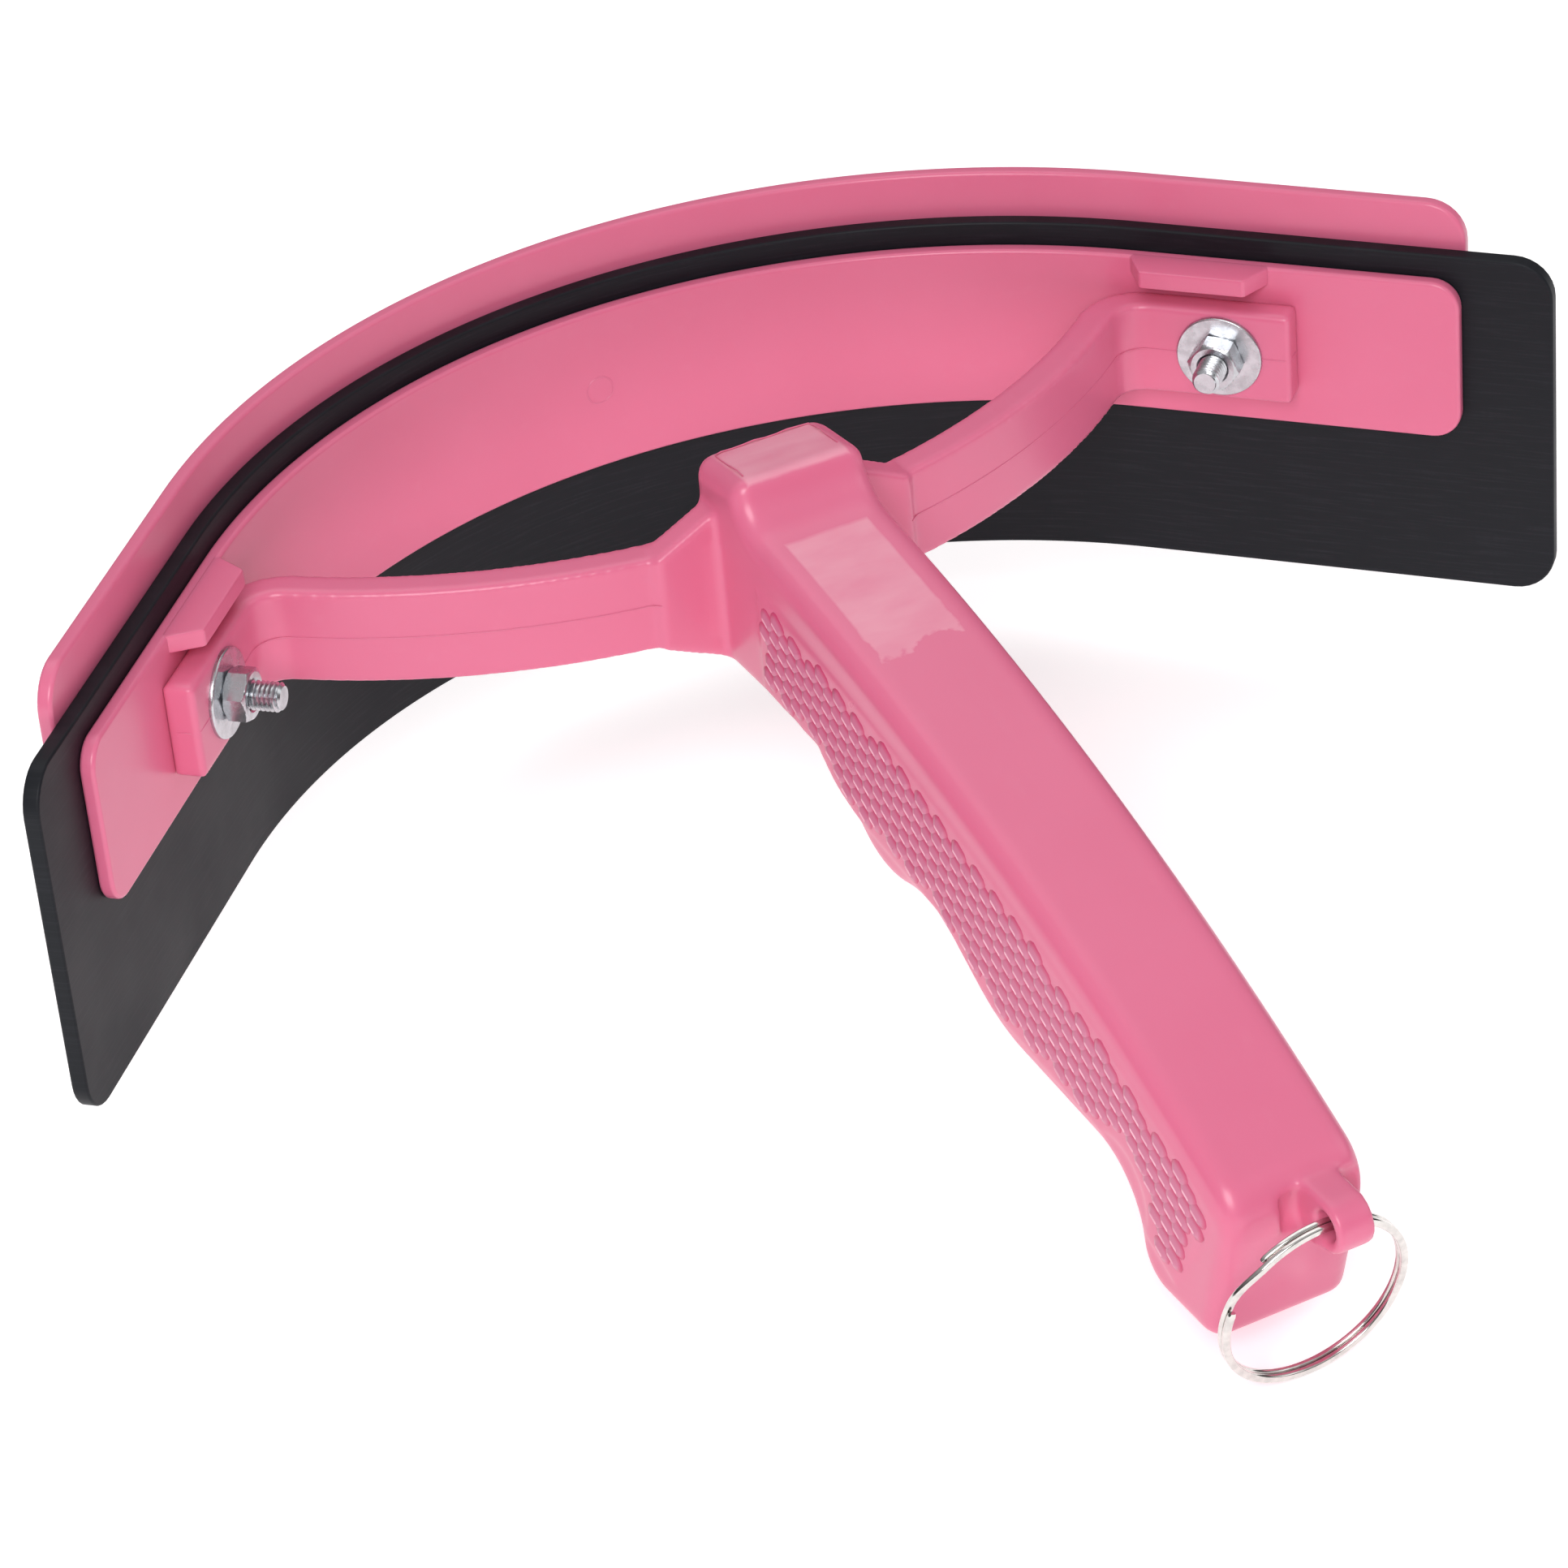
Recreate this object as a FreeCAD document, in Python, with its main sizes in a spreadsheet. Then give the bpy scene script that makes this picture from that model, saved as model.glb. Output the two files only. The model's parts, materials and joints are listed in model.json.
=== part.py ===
"""Sweat scraper: a bowed rubber blade clamped between two plastic plates and
bolted to a one-piece handle with a split ring at its end.

Frame: the origin is the middle of the blade's scraping edge, +Z points up the
blade, +X runs along the blade and the handle reaches out towards -Y.
"""

import FreeCAD, Part
import math
import os
import Sketcher

DOC = FreeCAD.newDocument("SweatScraper")
VECTOR = FreeCAD.Vector
SHEET_NAME = "Sizes"
TOUCH = 1e-3

# Driving dimensions in millimetres and degrees, each with a note for the sheet.
DRIVING = [
    ("blade_radius", 120.0, "inner radius of the bowed rubber"),
    ("blade_bow", 46.5, "half angle of the bow in degrees"),
    ("rubber_overhang", 15.5, "rubber standing out beyond each end of the plates"),
    ("rubber_height", 64.2, "rubber height"),
    ("rubber_thick", 2.8, "rubber thickness"),
    ("rubber_corner", 7.0, "corner radius of the rubber"),
    ("plate_length", 309.0, "clamp plate length along the bow"),
    ("plate_thick", 2.6, "clamp plate thickness"),
    ("plate_bottom", 30.2, "height of both plates' lower edges"),
    ("back_height", 42.2, "height of the outer plate"),
    ("front_corner", 5.0, "corner radius of the handle-side plate"),
    ("back_corner", 7.0, "corner radius of the outer plate"),
    ("bolt_run", 16.51, "distance of each bolt along the straight end"),
    ("bolt_rise", 15.2, "height of the bolt axes over the plates' lower edges"),
    ("bolt_size", 5.0, "thread diameter"),
    ("hole_slack", 0.4, "clearance of the bolt holes over the thread"),
    ("bolt_tip", 9.1, "thread showing beyond the washer"),
    ("head_width", 9.5, "pan head diameter"),
    ("head_thick", 3.4, "pan head height"),
    ("crown_width", 1.6, "width of the slope round the pan head"),
    ("crown_height", 1.9, "height of the slope round the pan head"),
    ("tip_chamfer", 0.6, "chamfer at the thread's tip"),
    ("drill_over", 1.0, "run of the bolt holes past the clamped stack"),
    ("drive_width", 3.0, "hexagon key recess across flats"),
    ("drive_depth", 1.8, "hexagon key recess depth"),
    ("washer_width", 15.0, "washer outer diameter"),
    ("washer_slack", 0.3, "clearance of the washer over the thread"),
    ("washer_thick", 1.0, "washer thickness"),
    ("washer_round", 0.3, "rounding of the washer's outer rim"),
    ("nut_flats", 8.0, "nut width across flats"),
    ("nut_slack", 0.1, "clearance of the nut's plain bore over the thread"),
    ("nut_thick", 4.0, "nut thickness"),
    ("nut_inset", 0.2, "start of the nut's chamfer inside its flats"),
    ("nut_slope", 30.0, "slope of the nut's chamfer in degrees"),
    ("nut_cutter", 3.0, "reach of the cutter that chamfers the nut"),
    ("foot_thick", 5.2, "thickness of each foot"),
    ("foot_outer", 12.4, "foot length beyond the bolt"),
    ("foot_inner", 12.1, "flat of the foot on the bolt's inner side"),
    ("heel_extra", 1.9, "foot's seat longer than its face on the inner side"),
    ("stop_width", 24.4, "stop width where it meets the plate"),
    ("stop_face", 18.4, "stop width at its face"),
    ("stop_depth", 5.2, "stop projection from the plate"),
    ("stop_height", 3.3, "stop height below the plate's upper edge"),
    ("stop_gap", 3.0, "gap between each foot and the stop over it"),
    ("stop_sunk", 1.0, "stop root sunk into the plate"),
    ("stop_shift", 4.6, "stop centre inwards of the bolt"),
    ("arm_thick", 6.0, "arm thickness"),
    ("arm_height", 17.0, "arm and foot height"),
    ("arm_inset", 6.2, "arms' middle line in from the neck's front face"),
    ("bend_round", 5.0, "inner radius where an arm turns into its foot"),
    ("bend_face_run", 7.0, "width of the bend on the grip's side"),
    ("bend_face_rise", 0.53, "drop of the bend on the grip's side"),
    ("bend_seat_run", 14.86, "width of the bend on the plates' side"),
    ("bend_seat_drop", 1.09, "drop of the bend on the plates' side"),
    ("web_reach", 23.5, "half width over the webs at the neck"),
    ("web_top", 60.5, "height of the webs at the neck"),
    ("web_base", 30.8, "lower level of the webs at the neck"),
    ("web_front", 0.4, "webs' stand beyond the arms towards the plates"),
    ("web_back", 1.0, "webs set in from the arms on the grip's side"),
    ("web_sunk", 2.0, "webs sunk into the neck's flanks"),
    ("grip_width", 24.4, "width of the grip and neck"),
    ("grip_round", 3.4, "rounding along the grip's edges"),
    ("panel_proud", 0.3, "height of the raised side panel"),
    ("panel_sunk", 1.0, "root of the side panel sunk into the grip"),
    ("lug_inset", 8.2, "middle of the ring lug in from the grip's flank"),
    ("lug_width", 6.4, "width of the ring lug"),
    ("lug_stand", 5.73, "ring lug hole beyond the grip's end face"),
    ("lug_rise", 3.06, "ring lug hole over the end face's upper edge"),
    ("lug_slack", 2.92, "clearance of the lug's hole over the two coils"),
    ("lug_wall", 1.9, "ring lug wall around its hole"),
    ("lug_root", 12.0, "run of the lug into the grip"),
    ("lug_flare", 4.0, "widening of the lug's root below"),
    ("scoop_radius", 7.4, "radius of the hollow behind the ring lug"),
    ("scoop_width", 14.0, "width of the hollow behind the ring lug"),
    ("ring_width", 32.0, "outer diameter of the split ring"),
    ("wire_depth", 1.3, "ring wire, radial size"),
    ("wire_thick", 1.0, "ring wire, size along the ring's axis"),
    ("coil_gap", 0.08, "gap between the two coils"),
    ("ring_hang", 10.5, "angle the ring hangs in under the grip"),
    ("ring_roll", 14.0, "angle the ring has rolled round in its lug"),
]

# Side outline of the neck and grip, seen from +X, in order round the outline. Each
# corner has a name, the corner that it is measured from, its run towards +Y and its
# rise from there, and the radius of the arc that leads to the next corner, or None
# for a line. A positive radius bulges outwards from the solid, a negative one is
# hollow. The corners under the fingers hang on each other from the neck's foot, those
# over the brow from the neck's top, and the palm's long arc joins the two.
GRIP_CORNERS = [
    ("back_low", None, -65.5, 32.6, 2.6),
    ("heel", "back_low", -2.6, -2.6, None),
    ("throat", "heel", -27.3, 0.0, -29.6),
    ("first_fall", "throat", -20.222, -7.985, 16.069),
    ("first_rise", "first_fall", -15.325, -3.735, -19.975),
    ("second_fall", "first_rise", -18.275, -3.955, 29.915),
    ("tread_start", "second_fall", -17.342, -6.978, None),
    ("tread_end", "tread_start", -22.706, -1.472, -11.9),
    ("pommel_start", "tread_end", -11.08, -10.781, 7.683),
    ("pommel_low", "pommel_start", -7.65, -6.977, None),
    ("base_end", "pommel_low", -10.8, 0.0, 3.4),
    ("face_low", "base_end", -3.27, 2.469, None),
    ("face_top", "face_low", -5.4, 18.954, 8.6),
    ("palm_end", "face_top", 4.55, 10.11, 445.3),
    ("shoulder", "brow_low", -7.3, -6.3, -8.77),
    ("brow_low", "brow_top", -2.036, -1.368, 1.9),
    ("brow_top", "crown", -11.33, 1.251, None),
    ("crown", "back_high", -2.134, 2.384, 2.4),
    ("back_high", "back_low", 0.0, 31.032, None),
]

# Side outline of the raised, textured panel on each flank, hung on the grip's corners.
PANEL_CORNERS = [
    ("panel_tip", "shoulder", 1.8, -8.6, None),
    ("panel_heel", "throat", 8.9, 2.6, None),
    ("panel_throat", "throat", -9.1, 1.2, 19.0),
    ("panel_first", "first_fall", -2.778, 2.385, None),
    ("panel_second", "first_rise", -11.553, 2.92, None),
    ("panel_third", "second_fall", -9.278, -1.925, None),
    ("panel_fourth", "tread_end", -1.73, 3.525, -9.0),
    ("panel_pommel", "pommel_start", -3.25, 2.706, None),
    ("panel_foot", "pommel_low", -3.5, 5.683, None),
    ("panel_face", "face_top", 5.97, -0.14, None),
    ("panel_back", "palm_end", -0.68, -4.65, 410.0),
]


def make_sheet():
    sheet = DOC.addObject("Spreadsheet::Sheet", SHEET_NAME)
    row = 1
    for alias, value, note in DRIVING:
        row = add_cell(sheet, row, alias, str(value), note)
    row = add_corners(sheet, row, GRIP_CORNERS + PANEL_CORNERS)
    for alias, formula in DERIVED:
        row = add_cell(sheet, row, alias, "=" + formula, "derived")
    DOC.recompute()
    return sheet


def add_corners(sheet, row, table):
    """Each corner's run, rise and arc, then its place, worked out from its parent's."""
    for name, _, run, rise, radius in table:
        row = add_cell(sheet, row, name + "_run", str(run), "outline corner, run from its parent")
        row = add_cell(sheet, row, name + "_rise", str(rise), "outline corner, rise from its parent")
        if radius is not None:
            row = add_cell(sheet, row, name + "_arc", str(abs(radius)), "outline arc radius")
    placed = set()
    while len(placed) < len(table):
        for name, parent, _, _, _ in table:
            if name in placed or (parent is not None and parent not in placed):
                continue
            reach, level = ("=%s_run" % name, "=%s_rise" % name)
            if parent is not None:
                reach += " + %s_reach" % parent
                level += " + %s_level" % parent
            row = add_cell(sheet, row, name + "_reach", reach, "outline corner, reach")
            row = add_cell(sheet, row, name + "_level", level, "outline corner, level")
            placed.add(name)
    return row


def add_cell(sheet, row, alias, text, note):
    sheet.set("A%d" % row, note)
    sheet.set("B%d" % row, text)
    sheet.setAlias("B%d" % row, alias)
    return row + 1


# Positions that follow from the driving dimensions. The end direction is the
# tangent of the bow where its straight ends begin.
DERIVED = [
    ("end_cos", "cos(blade_bow * 1deg)"),
    ("end_sin", "sin(blade_bow * 1deg)"),
    ("bow_length", "blade_radius * blade_bow * pi / 180"),
    ("rubber_length", "plate_length + 2 * rubber_overhang"),
    ("rubber_inner", "-rubber_thick / 2"),
    ("bow_centre", "rubber_inner - blade_radius"),
    ("bolt_level", "plate_bottom + bolt_rise"),
    ("bolt_out", "blade_radius * end_sin + bolt_run * end_cos"),
    ("bolt_back", "bow_centre + blade_radius * end_cos - bolt_run * end_sin"),
    ("bolt_hole", "bolt_size + hole_slack"),
    ("washer_bore", "bolt_size + washer_slack"),
    ("nut_bore", "bolt_size + nut_slack"),
    ("nut_drop", "nut_cutter * tan(nut_slope * 1deg)"),
    ("stack_back", "rubber_thick + plate_thick"),
    ("foot_depth", "plate_thick + foot_thick"),
    ("stack_depth", "foot_depth + washer_thick"),
    ("drill_start", "stack_back + drill_over"),
    ("drill_length", "drill_start + stack_depth + drill_over"),
    ("seat_out", "bolt_out - plate_thick * end_sin"),
    ("seat_back", "bolt_back - plate_thick * end_cos"),
    ("face_out", "bolt_out - foot_depth * end_sin"),
    ("face_back", "bolt_back - foot_depth * end_cos"),
    ("heel_seat_x", "seat_out - (foot_inner + heel_extra) * end_cos"),
    ("heel_seat_y", "seat_back + (foot_inner + heel_extra) * end_sin"),
    ("toe_seat_x", "seat_out + foot_outer * end_cos"),
    ("toe_seat_y", "seat_back - foot_outer * end_sin"),
    ("toe_face_x", "face_out + foot_outer * end_cos"),
    ("toe_face_y", "face_back - foot_outer * end_sin"),
    ("heel_face_x", "face_out - foot_inner * end_cos"),
    ("heel_face_y", "face_back + foot_inner * end_sin"),
    ("arm_middle", "back_low_reach - arm_inset"),
    ("bend_outer", "bend_round + arm_thick"),
    ("bend_back_x", "heel_seat_x - bend_seat_run"),
    ("bend_back_y", "heel_seat_y - bend_seat_drop"),
    ("bend_front_x", "heel_face_x - bend_face_run"),
    ("bend_front_y", "heel_face_y + bend_face_rise"),
    ("inside_rise", "bend_back_y - arm_middle - arm_thick / 2"),
    ("outside_rise", "bend_front_y - arm_middle + arm_thick / 2"),
    ("arm_inside", "(bend_back_x ^ 2 + inside_rise ^ 2) / (2 * inside_rise)"),
    ("arm_outside", "(bend_front_x ^ 2 + outside_rise ^ 2) / (2 * outside_rise)"),
    ("arm_low", "bolt_level - arm_height / 2"),
    ("arm_high", "bolt_level + arm_height / 2"),
    ("front_top", "arm_high + stop_gap + stop_height"),
    ("front_height", "front_top - plate_bottom"),
    ("lug_middle", "grip_width / 2 - lug_inset"),
    ("lug_reach", "face_top_reach - lug_stand"),
    ("lug_level", "face_top_level + lug_rise"),
    ("lug_hole", "2 * wire_thick + coil_gap + lug_slack"),
    ("ring_middle", "ring_width / 2 - wire_depth / 2"),
]

SHEET = None


def size(alias):
    """Value of a sheet cell as a plain number."""
    value = SHEET.get(alias)
    return float(getattr(value, "Value", value))


def bind(thing, prop, expression):
    thing.setExpression(prop, expression)


def cell(alias):
    return "%s.%s" % (SHEET_NAME, alias)


def new_body(label):
    body = DOC.addObject("PartDesign::Body", label)
    body.Label = label
    return body


def origin_plane(body, role):
    for feature in body.Origin.OriginFeatures:
        if feature.Role == role:
            return feature
    raise RuntimeError("no origin plane " + role)


def new_sketch(body, name, role, lift=None):
    """Sketch on an origin plane, lifted along the plane's normal by an expression."""
    sketch = body.newObject("Sketcher::SketchObject", name)
    sketch.AttachmentSupport = [(origin_plane(body, role), "")]
    sketch.MapMode = "FlatFace"
    if lift is not None:
        bind(sketch, "AttachmentOffset.Base.z", lift)
    return sketch


def arc_middle(start, end, radius, hollow):
    """Middle point of the minor arc; hollow puts its centre on the left of the run."""
    chord = end - start
    half = chord.Length / 2.0
    rise = math.sqrt(max(radius * radius - half * half, 0.0))
    left = VECTOR(-chord.y, chord.x, 0).normalize()
    side = 1.0 if hollow else -1.0
    centre = (start + end) * 0.5 + left * (rise * side)
    return centre - left * (radius * side)


def draw_outline(sketch, corners):
    """Closed outline with every corner and radius bound to the sheet.

    Each corner is (x expression, x value, y expression, y value, radius
    expression or None, radius value, hollow).
    """
    points = [VECTOR(item[1], item[3], 0) for item in corners]
    count = len(points)
    kinds = []
    for index, item in enumerate(corners):
        start = points[index]
        end = points[(index + 1) % count]
        if item[4] is None:
            sketch.addGeometry(Part.LineSegment(start, end), False)
            kinds.append((1, 2))
            continue
        arc = Part.Arc(start, arc_middle(start, end, item[5], item[6]), end)
        made = sketch.addGeometry(arc, False)
        first = sketch.getPoint(made, 1)
        forward = (first - start).Length < (first - end).Length
        kinds.append((1, 2) if forward else (2, 1))
    for index in range(count):
        following = (index + 1) % count
        sketch.addConstraint(
            Sketcher.Constraint("Coincident", index, kinds[index][1], following, kinds[following][0])
        )
    for index, item in enumerate(corners):
        bind_point(sketch, index, kinds[index][0], index, item)
        if item[4] is not None:
            made = sketch.addConstraint(Sketcher.Constraint("Radius", index, item[5]))
            sketch.renameConstraint(made, "arc%d" % index)
            bind(sketch, "Constraints.arc%d" % index, item[4])


def bind_point(sketch, geometry, end, index, item):
    for kind, letter, expression, value in (
        ("DistanceX", "across", item[0], item[1]),
        ("DistanceY", "along", item[2], item[3]),
    ):
        made = sketch.addConstraint(Sketcher.Constraint(kind, -1, 1, geometry, end, value))
        name = "%s%d" % (letter, index)
        sketch.renameConstraint(made, name)
        bind(sketch, "Constraints." + name, expression)


def corner(x_alias, y_alias, radius=None, hollow=False, mirror=False):
    sign = -1.0 if mirror else 1.0
    x_text = ("-" if mirror else "") + cell(x_alias)
    radius_text = cell(radius) if radius else None
    radius_value = size(radius) if radius else None
    return (x_text, sign * size(x_alias), cell(y_alias), size(y_alias), radius_text, radius_value, hollow)


def listed_corners(table):
    """Corners of a side outline table, run clockwise as seen from +X."""
    result = []
    for name, _, _, _, radius in table:
        item = corner(name + "_reach", name + "_level")
        if radius is not None:
            item = item[:4] + (cell(name + "_arc"), size(name + "_arc"), radius < 0)
        result.append(item)
    return result


def add_pad(body, sketch, name, length, symmetric=False, reverse=False):
    pad = body.newObject("PartDesign::Pad", name)
    pad.Profile = sketch
    bind(pad, "Length", length)
    if symmetric:
        pad.Midplane = True
    pad.Reversed = reverse
    DOC.recompute()
    return pad


def add_pocket(body, sketch, name, length, symmetric=False):
    pocket = body.newObject("PartDesign::Pocket", name)
    pocket.Profile = sketch
    bind(pocket, "Length", length)
    if symmetric:
        pocket.Midplane = True
    DOC.recompute()
    return pocket


def add_fillet(body, base, name, radius, chosen):
    """Fillet the edges of the base feature whose test holds."""
    names = []
    for index, edge in enumerate(base.Shape.Edges):
        if chosen(edge):
            names.append("Edge%d" % (index + 1))
    if not names:
        raise RuntimeError("no edges for " + name)
    fillet = body.newObject("PartDesign::Fillet", name)
    fillet.Base = (base, names)
    bind(fillet, "Radius", radius)
    DOC.recompute()
    return fillet


def edge_span(edge):
    box = edge.BoundBox
    return box.XLength, box.YLength, box.ZLength


def circle_sketch(sketch, radius_expression, radius_value, centre=(0.0, 0.0), centre_expressions=None):
    circle = Part.Circle(VECTOR(centre[0], centre[1], 0), VECTOR(0, 0, 1), radius_value)
    made = sketch.addGeometry(circle, False)
    number = sketch.addConstraint(Sketcher.Constraint("Radius", made, radius_value))
    name = "radius%d" % made
    sketch.renameConstraint(number, name)
    bind(sketch, "Constraints." + name, radius_expression)
    if centre_expressions is None:
        sketch.addConstraint(Sketcher.Constraint("Coincident", made, 3, -1, 1))
        return
    for kind, letter, expression, value in (
        ("DistanceX", "middle_x", centre_expressions[0], centre[0]),
        ("DistanceY", "middle_y", centre_expressions[1], centre[1]),
    ):
        number = sketch.addConstraint(Sketcher.Constraint(kind, -1, 1, made, 3, value))
        sketch.renameConstraint(number, letter)
        bind(sketch, "Constraints." + letter, expression)


def strip_outline(inner_offset, outer_offset, length):
    """Corners of a bowed strip between two offsets from the rubber's inner face.

    Offsets and length are (expression, value); positive offsets lie outside
    the bow, on the side away from the handle.
    """
    bow = math.radians(size("blade_bow"))
    radius = size("blade_radius")
    straight = length[1] / 2.0 - size("bow_length")
    rows = []
    for sign, run, offset in (
        (-1, 1, inner_offset),
        (-1, 0, inner_offset),
        (1, 0, inner_offset),
        (1, 1, inner_offset),
        (1, 1, outer_offset),
        (1, 0, outer_offset),
        (-1, 0, outer_offset),
        (-1, 1, outer_offset),
    ):
        reach = radius + offset[1]
        x_value = sign * (reach * math.sin(bow) + run * straight * math.cos(bow))
        y_value = size("bow_centre") + reach * math.cos(bow) - run * straight * math.sin(bow)
        tail = "(%s / 2 - %s)" % (length[0], cell("bow_length"))
        x_text = "%d * ((%s + %s) * %s + %d * %s * %s)" % (
            sign, cell("blade_radius"), offset[0], cell("end_sin"), run, tail, cell("end_cos"))
        y_text = "%s + (%s + %s) * %s - %d * %s * %s" % (
            cell("bow_centre"), cell("blade_radius"), offset[0], cell("end_cos"), run, tail, cell("end_sin"))
        rows.append([x_text, x_value, y_text, y_value, None, None, False])
    for index, offset, hollow in ((1, inner_offset, False), (5, outer_offset, True)):
        rows[index][4] = "%s + %s" % (cell("blade_radius"), offset[0])
        rows[index][5] = radius + offset[1]
        rows[index][6] = hollow
    return [tuple(item) for item in rows]


def bowed_strip(label, inner_offset, outer_offset, length, bottom, height, corner_radius):
    """A strip bent to the bow, with its four corners rounded."""
    body = new_body(label)
    sketch = new_sketch(body, label + "_plan", "XY_Plane", bottom)
    draw_outline(sketch, strip_outline(inner_offset, outer_offset, length))
    pad = add_pad(body, sketch, label + "_strip", height)
    reach = size("bolt_out")
    thickness = outer_offset[1] - inner_offset[1]

    def at_corner(edge):
        flat = edge_span(edge)[2] < TOUCH
        across = abs(edge.Length - thickness) < TOUCH
        return flat and across and abs(edge.CenterOfMass.x) > reach

    add_fillet(body, pad, label + "_corners", corner_radius, at_corner)
    return body


def bolt_frame(side, depth):
    """Placement on a bolt axis, local Z pointing to the handle side."""
    inward = VECTOR(-side * size("end_sin"), -size("end_cos"), 0)
    start = VECTOR(side * size("bolt_out"), size("bolt_back"), size("bolt_level"))
    turn = FreeCAD.Rotation(VECTOR(0, 0, 1), inward)
    return FreeCAD.Placement(start + inward * depth, turn)


def drill_bolt_holes(body):
    """Cut both bolt clearance holes, each as long as the whole clamped stack."""
    for side, name in ((-1, "left"), (1, "right")):
        hole = body.newObject("PartDesign::SubtractiveCylinder", "%s_%s_hole" % (body.Label, name))
        bind(hole, "Radius", cell("bolt_hole") + " / 2")
        bind(hole, "Height", cell("drill_length"))
        before = body.Shape.Volume
        hole.Placement = bolt_frame(side, -size("drill_start"))
        DOC.recompute()
        if body.Shape.Volume > before - 1.0:
            raise RuntimeError("a bolt hole misses " + body.Label)


def make_rubber():
    inner = ("0", 0.0)
    outer = (cell("rubber_thick"), size("rubber_thick"))
    length = (cell("rubber_length"), size("rubber_length"))
    body = bowed_strip(
        "rubber_blade", inner, outer, length, "0", cell("rubber_height"), cell("rubber_corner"))
    drill_bolt_holes(body)
    return body


def make_back_plate():
    inner = (cell("rubber_thick"), size("rubber_thick"))
    outer = (cell("stack_back"), size("stack_back"))
    length = (cell("plate_length"), size("plate_length"))
    body = bowed_strip(
        "back_plate", inner, outer, length, cell("plate_bottom"), cell("back_height"), cell("back_corner"))
    drill_bolt_holes(body)
    return body


def make_front_plate():
    inner = ("(-%s)" % cell("plate_thick"), -size("plate_thick"))
    outer = ("0", 0.0)
    length = (cell("plate_length"), size("plate_length"))
    body = bowed_strip(
        "front_plate", inner, outer, length, cell("plate_bottom"), cell("front_height"), cell("front_corner"))
    for side, name in ((-1, "left"), (1, "right")):
        add_stop(body, side, name)
    drill_bolt_holes(body)
    return body


def add_stop(body, side, name):
    """Wedge-ended bar along the plate's upper edge that the foot sits under."""
    sketch = new_sketch(body, name + "_stop_plan", "XY_Plane", cell("front_top"))
    thick = (cell("plate_thick"), size("plate_thick"))
    root = ("(%s - %s)" % (thick[0], cell("stop_sunk")), thick[1] - size("stop_sunk"))
    face = ("(%s + %s)" % (thick[0], cell("stop_depth")), thick[1] + size("stop_depth"))
    half_root = (cell("stop_width") + " / 2", size("stop_width") / 2.0)
    half_face = (cell("stop_face") + " / 2", size("stop_face") / 2.0)
    corners = ((root, half_root), (thick, half_root), (face, half_face))
    ordered = [(-1, item) for item in corners] + [(1, item) for item in reversed(corners)]
    rows = []
    for end, (depth, half) in ordered:
        run = end * half[1] - size("stop_shift")
        run_text = "(%d * %s - %s)" % (end, half[0], cell("stop_shift"))
        x_value = side * (size("bolt_out") + run * size("end_cos") - depth[1] * size("end_sin"))
        y_value = size("bolt_back") - run * size("end_sin") - depth[1] * size("end_cos")
        x_text = "%d * (%s + %s * %s - %s * %s)" % (
            side, cell("bolt_out"), run_text, cell("end_cos"), depth[0], cell("end_sin"))
        y_text = "%s - %s * %s - %s * %s" % (
            cell("bolt_back"), run_text, cell("end_sin"), depth[0], cell("end_cos"))
        rows.append((x_text, x_value, y_text, y_value, None, None, False))
    draw_outline(sketch, rows)
    add_pad(body, sketch, name + "_stop", cell("stop_height"), reverse=True)


def make_handle():
    """Grip, neck, both arms, their feet and the ring lug, moulded in one piece."""
    body = new_body("handle")
    side_view = new_sketch(body, "grip_side", "YZ_Plane")
    draw_outline(side_view, listed_corners(GRIP_CORNERS))
    grip = add_pad(body, side_view, "grip_block", cell("grip_width"), symmetric=True)
    edge_x = size("grip_width") / 2.0

    def on_flank(edge):
        return edge_span(edge)[0] < TOUCH and abs(abs(edge.CenterOfMass.x) - edge_x) < TOUCH

    add_fillet(body, grip, "grip_edges", cell("grip_round"), on_flank)
    plan = new_sketch(body, "arms_plan", "XY_Plane", cell("arm_low"))
    draw_outline(plan, arm_outline())
    add_pad(body, plan, "arms", cell("arm_height"))
    add_webs(body)
    add_lug(body)
    add_panels(body)
    drill_bolt_holes(body)
    return body


def arm_outline():
    right = [
        corner("bend_back_x", "bend_back_y", "bend_outer", False),
        corner("heel_seat_x", "heel_seat_y"),
        corner("toe_seat_x", "toe_seat_y"),
        corner("toe_face_x", "toe_face_y"),
        corner("heel_face_x", "heel_face_y", "bend_round", True),
        corner("bend_front_x", "bend_front_y", "arm_outside", False),
    ]
    left = [
        corner("bend_front_x", "bend_front_y", "bend_round", True, mirror=True),
        corner("heel_face_x", "heel_face_y", mirror=True),
        corner("toe_face_x", "toe_face_y", mirror=True),
        corner("toe_seat_x", "toe_seat_y", mirror=True),
        corner("heel_seat_x", "heel_seat_y", "bend_outer", False, mirror=True),
        corner("bend_back_x", "bend_back_y", "arm_inside", True, mirror=True),
    ]
    return right + left


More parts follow.
